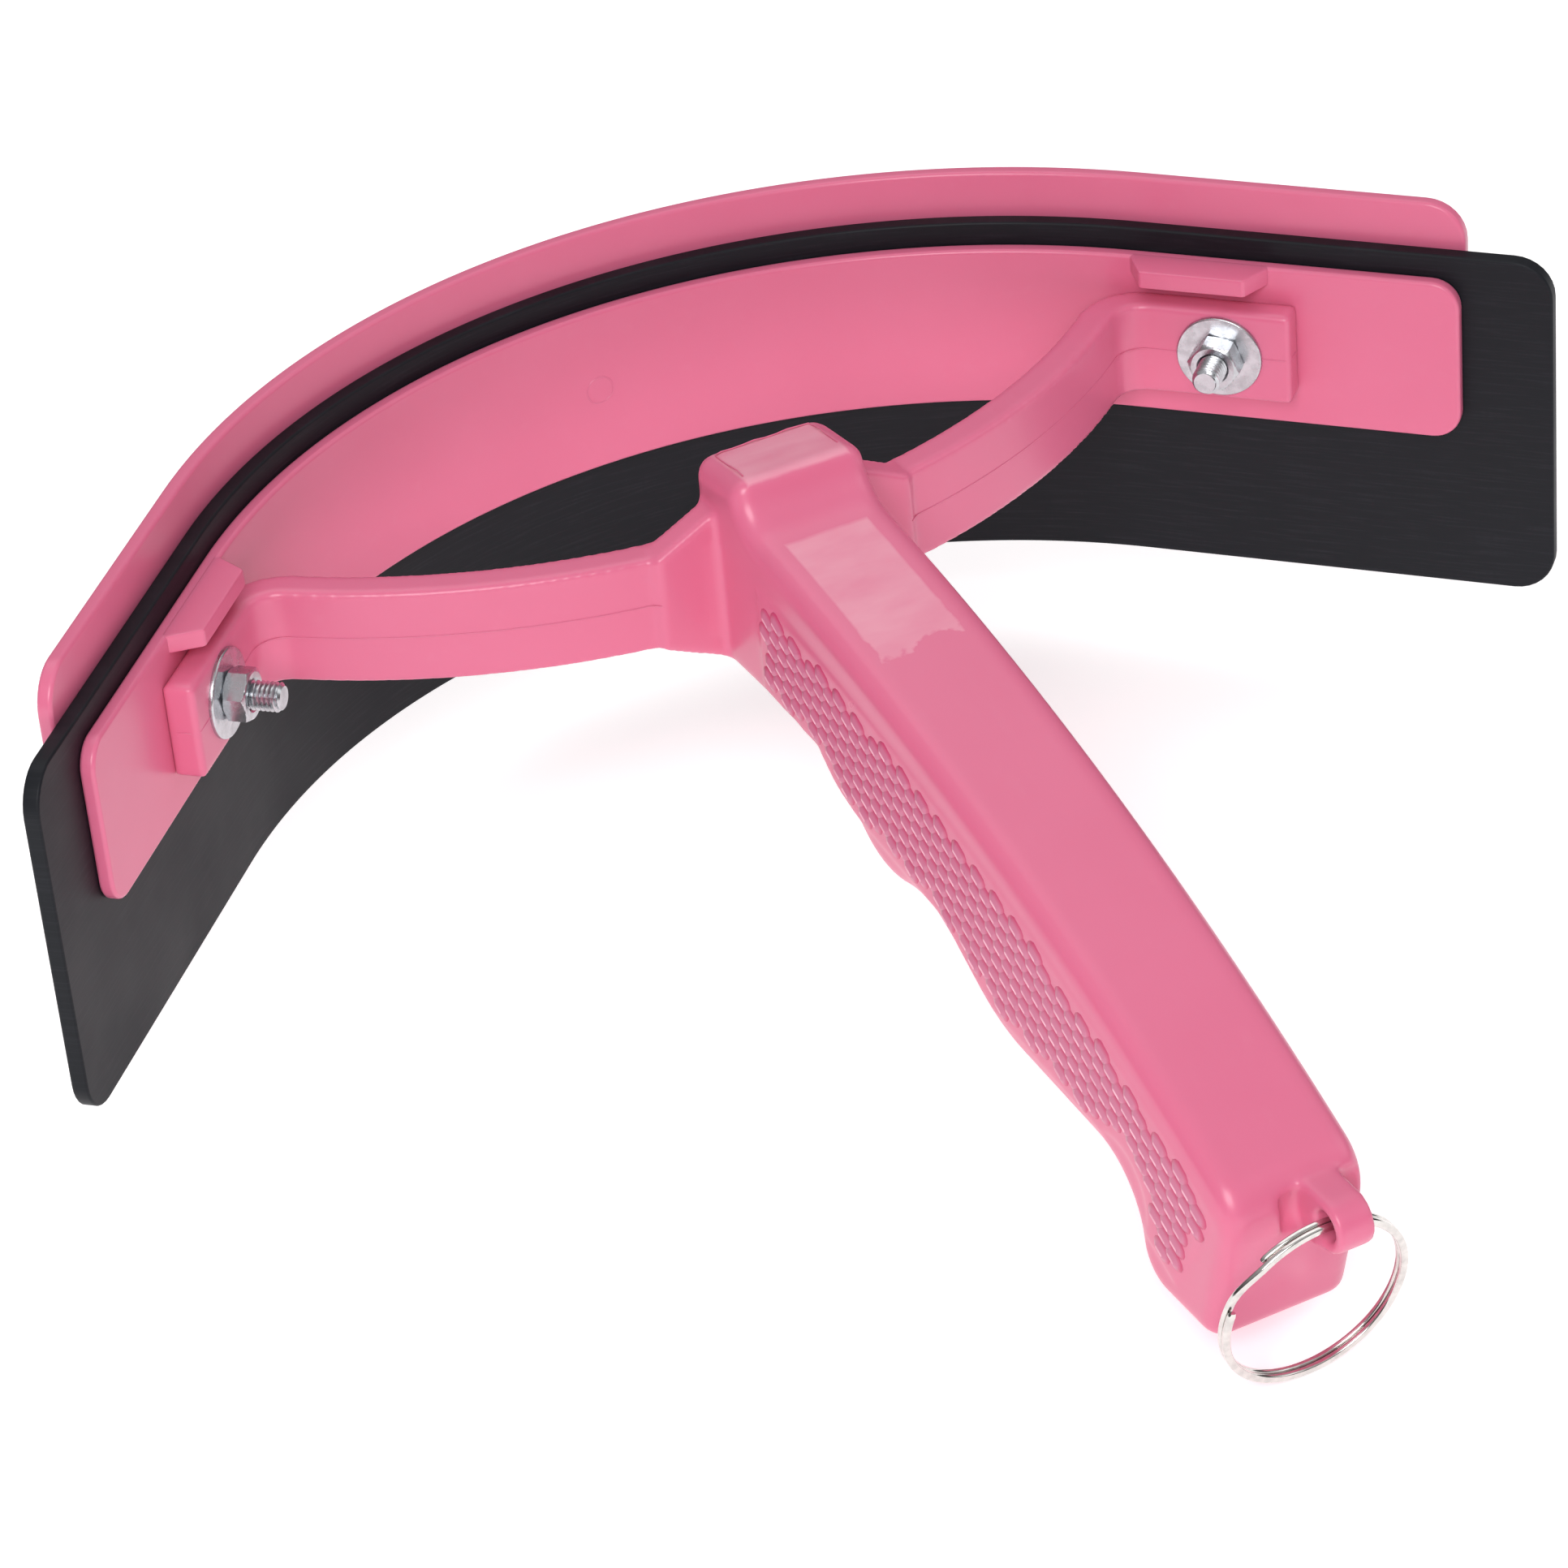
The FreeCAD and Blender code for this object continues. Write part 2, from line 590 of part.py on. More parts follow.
def add_webs(body):
    """Flared webs that stiffen the arms where they meet the neck."""
    lift = "-%s - %s / 2 - %s" % (cell("arm_middle"), cell("arm_thick"), cell("web_front"))
    sketch = new_sketch(body, "web_view", "XZ_Plane", lift)
    half = size("grip_width") / 2.0 - size("web_sunk")
    half_text = "(%s / 2 - %s)" % (cell("grip_width"), cell("web_sunk"))
    reach = size("web_reach")
    rows = [
        (half_text, half, cell("web_top"), size("web_top")),
        (cell("web_reach"), reach, cell("arm_high"), size("arm_high")),
        (cell("web_reach"), reach, cell("arm_low"), size("arm_low")),
        (half_text, half, cell("web_base"), size("web_base")),
        ("-" + half_text, -half, cell("web_base"), size("web_base")),
        ("-" + cell("web_reach"), -reach, cell("arm_low"), size("arm_low")),
        ("-" + cell("web_reach"), -reach, cell("arm_high"), size("arm_high")),
        ("-" + half_text, -half, cell("web_top"), size("web_top")),
    ]
    draw_outline(sketch, [row + (None, None, False) for row in rows])
    add_pad(body, sketch, "webs", "%s + %s - %s" % (cell("arm_thick"), cell("web_front"), cell("web_back")))


def add_lug(body):
    """Bridge over a hollow in the grip's end, drilled across for the ring."""
    reach = size("lug_reach")
    level = size("lug_level")
    texts = (cell("lug_reach"), cell("lug_level"))
    hollow = new_sketch(body, "lug_hollow", "YZ_Plane", cell("lug_middle"))
    circle_sketch(hollow, cell("scoop_radius"), size("scoop_radius"), (reach, level), texts)
    add_pocket(body, hollow, "lug_scoop", cell("scoop_width"), symmetric=True)
    outline = new_sketch(body, "lug_outline", "YZ_Plane", cell("lug_middle"))
    outer = size("lug_hole") / 2.0 + size("lug_wall")
    outer_text = "(%s / 2 + %s)" % (cell("lug_hole"), cell("lug_wall"))
    root = reach + size("lug_root")
    root_text = "%s + %s" % (texts[0], cell("lug_root"))
    under_text = "%s - %s" % (texts[1], outer_text)
    over_text = "%s + %s" % (texts[1], outer_text)
    flare = level - outer - size("lug_flare")
    rows = [
        (texts[0], reach, under_text, level - outer, None, None, False),
        (root_text, root, "%s - %s" % (under_text, cell("lug_flare")), flare, None, None, False),
        (root_text, root, over_text, level + outer, None, None, False),
        (texts[0], reach, over_text, level + outer, outer_text, outer, True),
        ("%s - %s" % (texts[0], outer_text), reach - outer, texts[1], level, outer_text, outer, True),
    ]
    draw_outline(outline, rows)
    add_pad(body, outline, "lug_bridge", cell("lug_width"), symmetric=True)
    hole = new_sketch(body, "lug_bore_view", "YZ_Plane", cell("lug_middle"))
    circle_sketch(hole, cell("lug_hole") + " / 2", size("lug_hole") / 2.0, (reach, level), texts)
    add_pocket(body, hole, "lug_bore", cell("scoop_width"), symmetric=True)


def add_panels(body):
    """Slightly raised panels on the flanks that carry the grip texture."""
    for side, name in ((-1, "left"), (1, "right")):
        lift = "%d * (%s / 2 - %s)" % (side, cell("grip_width"), cell("panel_sunk"))
        sketch = new_sketch(body, name + "_panel_view", "YZ_Plane", lift)
        draw_outline(sketch, listed_corners(PANEL_CORNERS))
        height = "%s + %s" % (cell("panel_sunk"), cell("panel_proud"))
        add_pad(body, sketch, name + "_panel", height, reverse=side < 0)


def make_washer(side, label):
    body = new_body(label)
    sketch = new_sketch(body, label + "_face", "XY_Plane")
    circle_sketch(sketch, cell("washer_width") + " / 2", size("washer_width") / 2.0)
    circle_sketch(sketch, cell("washer_bore") + " / 2", size("washer_bore") / 2.0)
    pad = add_pad(body, sketch, label + "_disc", cell("washer_thick"))
    rim = size("washer_width") / 2.0
    top = size("washer_thick")

    def outer_rim(edge):
        return abs(edge.Length - 2 * math.pi * rim) < TOUCH and abs(edge.CenterOfMass.z - top) < TOUCH

    add_fillet(body, pad, label + "_rim", cell("washer_round"), outer_rim)
    body.Placement = bolt_frame(side, size("foot_depth"))
    return body


def hexagon_outline(flats, turn):
    """Corners of a hexagon of the given width across flats, its first corner turned."""
    reach = size(flats) / math.sqrt(3.0)
    corners = []
    for index in range(6):
        degrees = 60 * index + turn
        radians = math.radians(degrees)
        row = []
        for name, ratio in (("cos", math.cos(radians)), ("sin", math.sin(radians))):
            row += ["%s / sqrt(3) * %s(%d * 1deg)" % (cell(flats), name, degrees), reach * ratio]
        corners.append(tuple(row) + (None, None, False))
    return corners


def make_nut(side, label):
    body = new_body(label)
    sketch = new_sketch(body, label + "_face", "XY_Plane")
    draw_outline(sketch, hexagon_outline("nut_flats", 30))
    circle_sketch(sketch, cell("nut_bore") + " / 2", size("nut_bore") / 2.0)
    add_pad(body, sketch, label + "_hexagon", cell("nut_thick"))
    chamfer_nut(body, label)
    body.Placement = bolt_frame(side, size("stack_depth"))
    return body


def chamfer_nut(body, label):
    """Chamfer round the corners of the nut's outer face."""
    inner = size("nut_flats") / 2.0 - size("nut_inset")
    inner_text = "%s / 2 - %s" % (cell("nut_flats"), cell("nut_inset"))
    outer = inner + size("nut_cutter")
    outer_text = "%s + %s" % (inner_text, cell("nut_cutter"))
    top = size("nut_thick")
    above_text = "%s + %s" % (cell("nut_thick"), cell("nut_cutter"))
    above = top + size("nut_cutter")
    rows = [
        (inner_text, inner, cell("nut_thick"), top),
        (outer_text, outer, "%s - %s" % (cell("nut_thick"), cell("nut_drop")), top - size("nut_drop")),
        (outer_text, outer, above_text, above),
        (inner_text, inner, above_text, above),
    ]
    sketch = new_sketch(body, label + "_chamfer_view", "XZ_Plane")
    draw_outline(sketch, [row + (None, None, False) for row in rows])
    groove = body.newObject("PartDesign::Groove", label + "_chamfer")
    groove.Profile = sketch
    groove.ReferenceAxis = (sketch, ["V_Axis"])
    groove.Angle = 360.0
    before = body.Shape.Volume
    DOC.recompute()
    if body.Shape.Volume > before - 0.1:
        raise RuntimeError("the nut chamfer cuts nothing")


def make_bolt(side, label):
    """Pan head on the outer plate, thread through the whole clamp to the nut."""
    body = new_body(label)
    under, under_text = -size("stack_back"), "-" + cell("stack_back")
    top = under - size("head_thick")
    top_text = "%s - %s" % (under_text, cell("head_thick"))
    tip = size("stack_depth") + size("bolt_tip")
    tip_text = "%s + %s" % (cell("stack_depth"), cell("bolt_tip"))
    half, half_text = size("bolt_size") / 2.0, cell("bolt_size") + " / 2"
    head, head_text = size("head_width") / 2.0, cell("head_width") + " / 2"
    crown = "%s - %s" % (head_text, cell("crown_width"))
    rim = "%s + %s" % (top_text, cell("crown_height"))
    neck = "%s - %s" % (half_text, cell("tip_chamfer"))
    rows = [
        ("0", 0.0, top_text, top),
        (crown, head - size("crown_width"), top_text, top),
        (head_text, head, rim, top + size("crown_height")),
        (head_text, head, under_text, under),
        (half_text, half, under_text, under),
        (half_text, half, "%s - %s" % (tip_text, cell("tip_chamfer")), tip - size("tip_chamfer")),
        (neck, half - size("tip_chamfer"), tip_text, tip),
        ("0", 0.0, tip_text, tip),
    ]
    sketch = new_sketch(body, label + "_half", "XZ_Plane")
    draw_outline(sketch, [row + (None, None, False) for row in rows])
    turned = body.newObject("PartDesign::Revolution", label + "_turned")
    turned.Profile = sketch
    turned.ReferenceAxis = (sketch, ["V_Axis"])
    turned.Angle = 360.0
    DOC.recompute()
    cut_drive(body, label, top_text)
    body.Placement = bolt_frame(side, 0.0)
    return body


def cut_drive(body, label, lift):
    """Hexagon key recess in the head."""
    sketch = new_sketch(body, label + "_drive", "XY_Plane", lift)
    draw_outline(sketch, hexagon_outline("drive_width", 0))
    before = body.Shape.Volume
    pocket = body.newObject("PartDesign::Pocket", label + "_socket")
    pocket.Profile = sketch
    bind(pocket, "Length", cell("drive_depth"))
    pocket.Reversed = True
    DOC.recompute()
    if body.Shape.Volume > before - 1.0:
        raise RuntimeError("the key recess cuts nothing")


def make_ring():
    """Two flat-wound coils of wire, hung through the lug."""
    body = new_body("split_ring")
    sketch = new_sketch(body, "wire_section", "XZ_Plane")
    middle = size("ring_middle")
    deep = size("wire_depth") / 2.0
    thick = size("wire_thick") / 2.0
    pitch = size("wire_thick") + size("coil_gap")
    rows = []
    for x_sign, z_sign in ((-1, -1), (1, -1), (1, 1), (-1, 1)):
        rows.append((
            "%s + %d * %s / 2" % (cell("ring_middle"), x_sign, cell("wire_depth")), middle + x_sign * deep,
            "%d * %s / 2 - %s - %s" % (z_sign, cell("wire_thick"), cell("wire_thick"), cell("coil_gap")),
            z_sign * thick - pitch, None, None, False))
    draw_outline(sketch, rows)
    coil = body.newObject("PartDesign::AdditiveHelix", "coils")
    coil.Profile = sketch
    coil.ReferenceAxis = (sketch, ["V_Axis"])
    coil.Mode = "pitch-turns-angle"
    bind(coil, "Pitch", "%s + %s" % (cell("wire_thick"), cell("coil_gap")))
    coil.Turns = 2.0
    DOC.recompute()
    body.Placement = ring_frame()
    return body


def ring_frame():
    """The ring hangs from the lug hole, leaning in and rolled a little round."""
    lean = math.radians(size("ring_hang"))
    roll = math.radians(size("ring_roll"))
    down = VECTOR(0, math.sin(lean), -math.cos(lean))
    across = VECTOR(1, 0, 0)
    fall = down * math.cos(roll) - across * math.sin(roll)
    axis = across.cross(down)
    hole = VECTOR(size("lug_middle"), size("lug_reach"), size("lug_level"))
    turn = FreeCAD.Rotation(fall, VECTOR(), axis, "ZXY")
    return FreeCAD.Placement(hole + fall * size("ring_middle"), turn)


def check_document(nodes):
    for thing in DOC.Objects:
        if "Invalid" in thing.State or "Error" in thing.State:
            raise RuntimeError("%s did not recompute: %s" % (thing.Label, thing.State))
    for node in nodes:
        if node.Shape.isNull() or not node.Shape.isValid():
            raise RuntimeError(node.Label + " has no valid shape")
        if len(node.Shape.Solids) != 1:
            raise RuntimeError("%s is %d solids" % (node.Label, len(node.Shape.Solids)))


def main():
    global SHEET
    SHEET = make_sheet()
    nodes = [make_back_plate(), make_rubber(), make_front_plate(), make_handle()]
    for side, name in ((-1, "left_"), (1, "right_")):
        nodes.append(make_bolt(side, name + "bolt"))
        nodes.append(make_washer(side, name + "washer"))
        nodes.append(make_nut(side, name + "nut"))
    nodes.append(make_ring())
    DOC.recompute()
    check_document(nodes)
    os.makedirs("parts", exist_ok=True)
    for node in nodes:
        node.Shape.exportStep(os.path.join("parts", node.Label + ".step"))
        box = node.Shape.BoundBox
        print("%-14s %9.1f mm3  x %7.1f %7.1f  y %7.1f %7.1f  z %6.1f %6.1f" % (
            node.Label, node.Shape.Volume, box.XMin, box.XMax, box.YMin, box.YMax, box.ZMin, box.ZMax))


main()
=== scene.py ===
"""Looks of a sweat scraper: bowed rubber blade, two clamp plates, moulded grip.

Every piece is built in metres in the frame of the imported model, where the blade
runs along X, stands up along Z and the grip reaches out towards -Y.
"""

import json
import math

import bmesh
import bpy
import numpy as np
from bpy.props import FloatProperty, FloatVectorProperty, IntProperty, PointerProperty
from mathutils import Matrix, Vector

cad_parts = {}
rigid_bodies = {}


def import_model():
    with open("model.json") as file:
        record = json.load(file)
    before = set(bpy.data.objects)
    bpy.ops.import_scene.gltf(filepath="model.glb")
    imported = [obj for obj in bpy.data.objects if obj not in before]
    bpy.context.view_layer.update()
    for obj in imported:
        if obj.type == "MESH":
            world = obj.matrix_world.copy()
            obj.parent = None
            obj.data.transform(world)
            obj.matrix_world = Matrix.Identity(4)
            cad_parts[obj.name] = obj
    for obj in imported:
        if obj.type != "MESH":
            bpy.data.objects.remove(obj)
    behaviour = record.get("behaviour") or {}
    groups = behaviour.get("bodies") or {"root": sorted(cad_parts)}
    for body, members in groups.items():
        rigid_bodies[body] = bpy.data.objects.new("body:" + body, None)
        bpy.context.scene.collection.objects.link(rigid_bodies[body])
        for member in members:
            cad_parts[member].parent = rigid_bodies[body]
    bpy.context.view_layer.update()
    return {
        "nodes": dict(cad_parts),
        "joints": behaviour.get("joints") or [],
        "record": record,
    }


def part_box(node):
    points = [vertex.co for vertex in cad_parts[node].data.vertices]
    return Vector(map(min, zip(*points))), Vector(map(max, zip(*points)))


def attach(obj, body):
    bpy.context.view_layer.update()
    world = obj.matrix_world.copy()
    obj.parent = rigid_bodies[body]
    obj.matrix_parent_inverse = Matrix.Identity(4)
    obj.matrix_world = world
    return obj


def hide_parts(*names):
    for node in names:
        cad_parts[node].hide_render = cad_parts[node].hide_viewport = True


for leftover in list(bpy.data.objects):
    bpy.data.objects.remove(leftover)

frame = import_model()

bl_info = {
    "name": "Sweat Scraper",
    "version": (1, 0, 0),
    "blender": (4, 5, 0),
    "location": "View3D > Sidebar > Scraper",
    "description": "Builds the visible pieces of a sweat scraper around its packed frame",
    "category": "Object",
}

MM = 0.001
SCRAPER = "scraper"
RING = "ring"
SIDES = (("left", -1.0), ("right", 1.0))

# Node kinds that are used all through
SUM = "ShaderNodeMath"
VECTOR = "ShaderNodeVectorMath"
RANGE = "ShaderNodeMapRange"
BLEND = "ShaderNodeMix"


# Sizes and colours

def length(name, description, millimetres):
    """A length property given in millimetres and kept in metres."""
    return FloatProperty(
        name=name,
        description=description,
        default=millimetres * MM,
        min=0.0,
        unit="LENGTH",
        precision=5,
    )


def angle(name, description, degrees):
    """An angle property given in degrees and kept in radians."""
    return FloatProperty(
        name=name, description=description, default=math.radians(degrees), unit="ROTATION"
    )


def colour(name, description, code):
    """A colour property given as an sRGB hex code and kept linear."""
    return FloatVectorProperty(
        name=name,
        description=description,
        default=linear(code),
        size=4,
        min=0.0,
        max=1.0,
        subtype="COLOR",
    )


def linear(code):
    """An sRGB hex colour as linear red, green, blue and full alpha."""
    channels = [int(code[index:index + 2], 16) / 255.0 for index in (1, 3, 5)]
    return tuple(c / 12.92 if c <= 0.04045 else ((c + 0.055) / 1.055) ** 2.4 for c in channels) + (1.0,)


class BladeSizes(bpy.types.PropertyGroup):
    bow_radius: length("Bow radius", "Radius of the rubber's inner face", 120.0)
    bow_angle: angle("Bow half angle", "Angle from the middle to where the straight ends begin", 46.5)
    station_step: length("Station step", "Distance between cross cuts round the bow", 2.0)
    rubber_corner: length("Rubber corner", "Corner radius of the rubber", 7.0)
    outer_corner: length("Outer plate corner", "Corner radius of the outer plate", 7.0)
    inner_corner: length("Inner plate corner", "Corner radius of the handle-side plate", 5.0)
    rubber_round: length("Rubber edge", "Rounding of the cut rubber edges", 0.45)
    plate_round: length("Plate edge", "Rounding of the moulded plate edges", 0.7)
    rubber_length: length("Rubber length", "Length of the rubber along the bow", 340.0)
    plate_length: length("Plate length", "Length of both plates along the bow", 309.0)
    rubber_thick: length("Rubber thickness", "Thickness of the rubber sheet", 2.8)
    plate_thick: length("Plate thickness", "Thickness of each clamp plate", 2.6)
    stop_middle: length("Stop place", "Middle of each stop along the bow", 109.3)
    stop_root: length("Stop root", "Stop width where it meets the plate", 24.4)
    stop_face: length("Stop face", "Stop width at its free face", 18.4)
    stop_depth: length("Stop depth", "How far each stop stands out of the plate", 5.2)
    stop_height: length("Stop height", "Height of each stop", 3.3)
    ejector: length("Ejector mark", "Diameter of the faint circle in the middle of the inner plate", 5.0)


class FastenerSizes(bpy.types.PropertyGroup):
    thread: length("Thread", "Outside diameter of the thread", 5.0)
    pitch: length("Thread pitch", "Advance of the thread in one turn", 0.8)
    nut_flats: length("Nut flats", "Nut width across its flats", 8.0)
    nut_thick: length("Nut height", "Height of the nut", 4.0)
    washer_width: length("Washer", "Outside diameter of the washer", 15.0)
    washer_bore: length("Washer bore", "Bore of the washer", 5.3)
    washer_thick: length("Washer thickness", "Thickness of the washer", 1.0)
    tip_run: length("Thread beyond nut", "Thread showing beyond the nut", 5.1)
    clamp: length("Clamped stack", "Plates, rubber and foot between head and washer", 13.2)
    head_width: length("Head", "Diameter of the pan head", 9.5)
    head_thick: length("Head height", "Height of the pan head", 3.4)
    drive: length("Key size", "Hexagon key recess across its flats", 3.0)
    drive_deep: length("Key depth", "Depth of the key recess", 1.8)


class GripSizes(bpy.types.PropertyGroup):
    grain: length("Skin step", "Mesh size of the moulded skin", 0.62)
    softening: IntProperty(
        name="Softening", description="Passes that round the moulded edges", default=6
    )
    scale_step: length("Scale step", "Distance between scales along a row", 3.48)
    scale_climb: angle("Scale climb", "How steeply the rows climb towards the grip's end", 13.9)
    row_step: length("Row step", "Distance between rows of scales", 3.26)
    row_lean: angle("Row lean", "How far each row is set back under the one above", 19.4)
    crest_run: length("Crest", "Length of the crest on each scale", 1.4)
    crest_fall: angle("Crest fall", "How steeply each crest falls towards the grip's end", 28.0)
    scale_rise: length("Scale height", "How far a scale stands out of the panel", 0.7)
    scale_reach: length("Scale reach", "How far a scale's slopes reach from its crest", 1.75)
    scale_margin: length("Plain rim", "Distance from the panel's rim to the nearest crest", 2.1)
    flash: length("Flash line", "Radius of the raised mould line", 0.13)
    roof_half: length("Roof half width", "From the neck's middle to the flash at its sides", 8.8)
    roof_near: length("Roof front", "From the handle's back to the front of the neck's flash", 38.0)
    roof_far: length("Roof back", "From the handle's back to the flash at the neck's back", 27.4)


class RingSizes(bpy.types.PropertyGroup):
    ring_width: length("Ring", "Outside diameter of the split ring", 32.0)
    wire_deep: length("Wire depth", "Wire size across the ring", 1.3)
    wire_thick: length("Wire thickness", "Wire size along the ring's axis", 1.0)
    coil_gap: length("Coil gap", "Gap between the two coils", 0.08)
    start: angle("Coil start", "Where the first coil's end lies, from the lug round by the left", 86.0)
    finish: angle("Coil finish", "Where the second coil's end lies", 772.0)
    step_start: angle("Step start", "Where the wire starts to step across", 412.0)
    step_finish: angle("Step finish", "Where the wire has stepped across", 444.0)


class Finishes(bpy.types.PropertyGroup):
    pink: colour("Pink plastic", "Moulded polypropylene", "#DA6E8F")
    # Scuffed pink gives paler flow marks and rubbed wear, and also the painted highlight on the grip
    # behind the neck.
    scuffed_and_highlight: colour("Scuffed pink", "Polypropylene where it is rubbed", "#E8A3B4")
    # Sunk pink is painted shade down in the valleys between the scales.
    sunk: colour("Sunk pink", "Polypropylene down between the scales", "#C43F6B")
    # Gripped pink is a greyish painted reflection on the slopes of the scales.
    slope_reflection: colour("Gripped pink", "Polypropylene on the slopes of the scales", "#C6728F")
    # Crest pink is a pale painted highlight along the crests of the scales.
    crest: colour("Crest pink", "Polypropylene rubbed pale on the crests", "#F0B4C6")
    rubber: colour("Rubber", "Black sheet rubber", "#0E1117")
    dust: colour("Rubber bloom", "Pale bloom on the rubber", "#2A2A31")
    zinc: colour("Zinc", "Bright zinc plate", "#C9CBCF")
    nickel: colour("Nickel", "Bright nickel plate", "#D9D6D2")


def sizes(name):
    """One group of the scene's own sizes or colours."""
    return getattr(bpy.context.scene, "scraper_" + name)


# Mesh and node helpers

def add_node(tree, kind, inputs=None, output=0, **settings):
    """Adds a node with its settings and links, and gives one of its outputs."""
    node = tree.nodes.new(kind)
    for name, value in settings.items():
        setattr(node, name, value)
    for key, value in (inputs or {}).items():
        if isinstance(value, bpy.types.NodeSocket):
            tree.links.new(value, node.inputs[key])
        else:
            node.inputs[key].default_value = value
    return node.outputs[output] if node.outputs else None


def new_object(name, data):
    """A new object at the origin, linked into the scene."""
    piece = bpy.data.objects.new(name, data)
    bpy.context.scene.collection.objects.link(piece)
    return piece


def mesh_from(name, build):
    """A new mesh filled by a function that is given an empty bmesh."""
    mesh = bpy.data.meshes.new(name)
    shape = bmesh.new()
    build(shape)
    bmesh.ops.recalc_face_normals(shape, faces=shape.faces)
    shape.to_mesh(mesh)
    shape.free()
    return mesh


def settle(piece):
    """Turns a piece and its modifiers into one plain mesh."""
    bpy.context.view_layer.update()
    seen = piece.evaluated_get(bpy.context.evaluated_depsgraph_get())
    mesh = bpy.data.meshes.new_from_object(seen)
    piece.modifiers.clear()
    piece.data = mesh


def crisp(piece, degrees=40.0):
    """Smooth shading that keeps flats flat and sharp edges sharp."""
    piece.data.shade_smooth()
    piece.data.set_sharp_from_angle(angle=math.radians(degrees))
    modifier = piece.modifiers.new("Flats", "WEIGHTED_NORMAL")
    modifier.keep_sharp = True
    modifier.weight = 100
    settle(piece)


def nodes_on(piece, tree, values):
    """Runs a geometry node tree on a piece, its inputs given by their names."""
    modifier = piece.modifiers.new(tree.name, "NODES")
    modifier.node_group = tree
    for item in tree.interface.items_tree:
        if item.item_type == "SOCKET" and item.in_out == "INPUT" and item.name in values:
            modifier[item.identifier] = values[item.name]
    settle(piece)


def new_tree(name, inputs):
    """A geometry node tree with a geometry input and named further inputs."""
    tree = bpy.data.node_groups.new(name, "GeometryNodeTree")
    tree.interface.new_socket("Geometry", in_out="INPUT", socket_type="NodeSocketGeometry")
    for label, kind in inputs:
        tree.interface.new_socket(label, in_out="INPUT", socket_type="NodeSocket" + kind)
    tree.interface.new_socket("Geometry", in_out="OUTPUT", socket_type="NodeSocketGeometry")
    return tree, tree.nodes.new("NodeGroupInput").outputs


def end_tree(tree, geometry, material):
    """Ends a tree with real geometry in one material."""
    real = add_node(tree, "GeometryNodeRealizeInstances", {"Geometry": geometry})
    done = add_node(tree, "GeometryNodeSetMaterial", {"Geometry": real, "Material": material})
    tree.links.new(done, tree.nodes.new("NodeGroupOutput").inputs[0])


def grid_faces(shape, rows, closed_rows=False):
    """Quads between rows of points; each row closes on itself."""
    made = [[shape.verts.new(point) for point in row] for row in rows]
    count = len(made[0])
    gaps = len(made) if closed_rows else len(made) - 1
    for index in range(gaps):
        near, far = made[index], made[(index + 1) % len(made)]
        for step in range(count):
            after = (step + 1) % count
            shape.faces.new((near[step], near[after], far[after], far[step]))
    return made


# Bowed strips: rubber and plates

def rounded_outline(half_run, low, high, corner):
    """A rectangle with rounded corners, over the strip's run and height."""
    points = []
    arc_steps = 8
    for run, level, turn in (
        (half_run - corner, low + corner, -90.0),
        (half_run - corner, high - corner, 0.0),
        (-half_run + corner, high - corner, 90.0),
        (-half_run + corner, low + corner, 180.0),
    ):
        for step in range(arc_steps + 1):
            around = math.radians(turn + 90.0 * step / arc_steps)
            points.append((run + corner * math.cos(around), level + corner * math.sin(around)))
    return points


def flat_prism(shape, outline, near, far, rounding, segments=3):
    """Extrudes an outline from one offset to another and rounds its rims."""
    lower = [shape.verts.new((run, near, level)) for run, level in outline]
    upper = [shape.verts.new((run, far, level)) for run, level in outline]
    count = len(outline)
    faces = [shape.faces.new(lower), shape.faces.new(upper[::-1])]
    for step in range(count):
        after = (step + 1) % count
        faces.append(shape.faces.new((lower[after], lower[step], upper[step], upper[after])))
    bmesh.ops.recalc_face_normals(shape, faces=faces)
    rims = [edge for face in faces[:2] for edge in face.edges]
    bmesh.ops.bevel(shape, geom=rims, offset=rounding, segments=segments, profile=0.5, affect="EDGES")


def cut_stations(shape, half_run, step):
    """Cuts a flat strip across at even stations, so that it can bend."""
    count = int(2.0 * half_run / step)
    for index in range(count + 1):
        station = -half_run + 2.0 * half_run * index / count
        geometry = list(shape.verts) + list(shape.edges) + list(shape.faces)
        bmesh.ops.bisect_plane(
            shape,
            geom=geometry,
            dist=1e-7,
            plane_co=(station, 0, 0),
            plane_no=(1, 0, 0),
        )


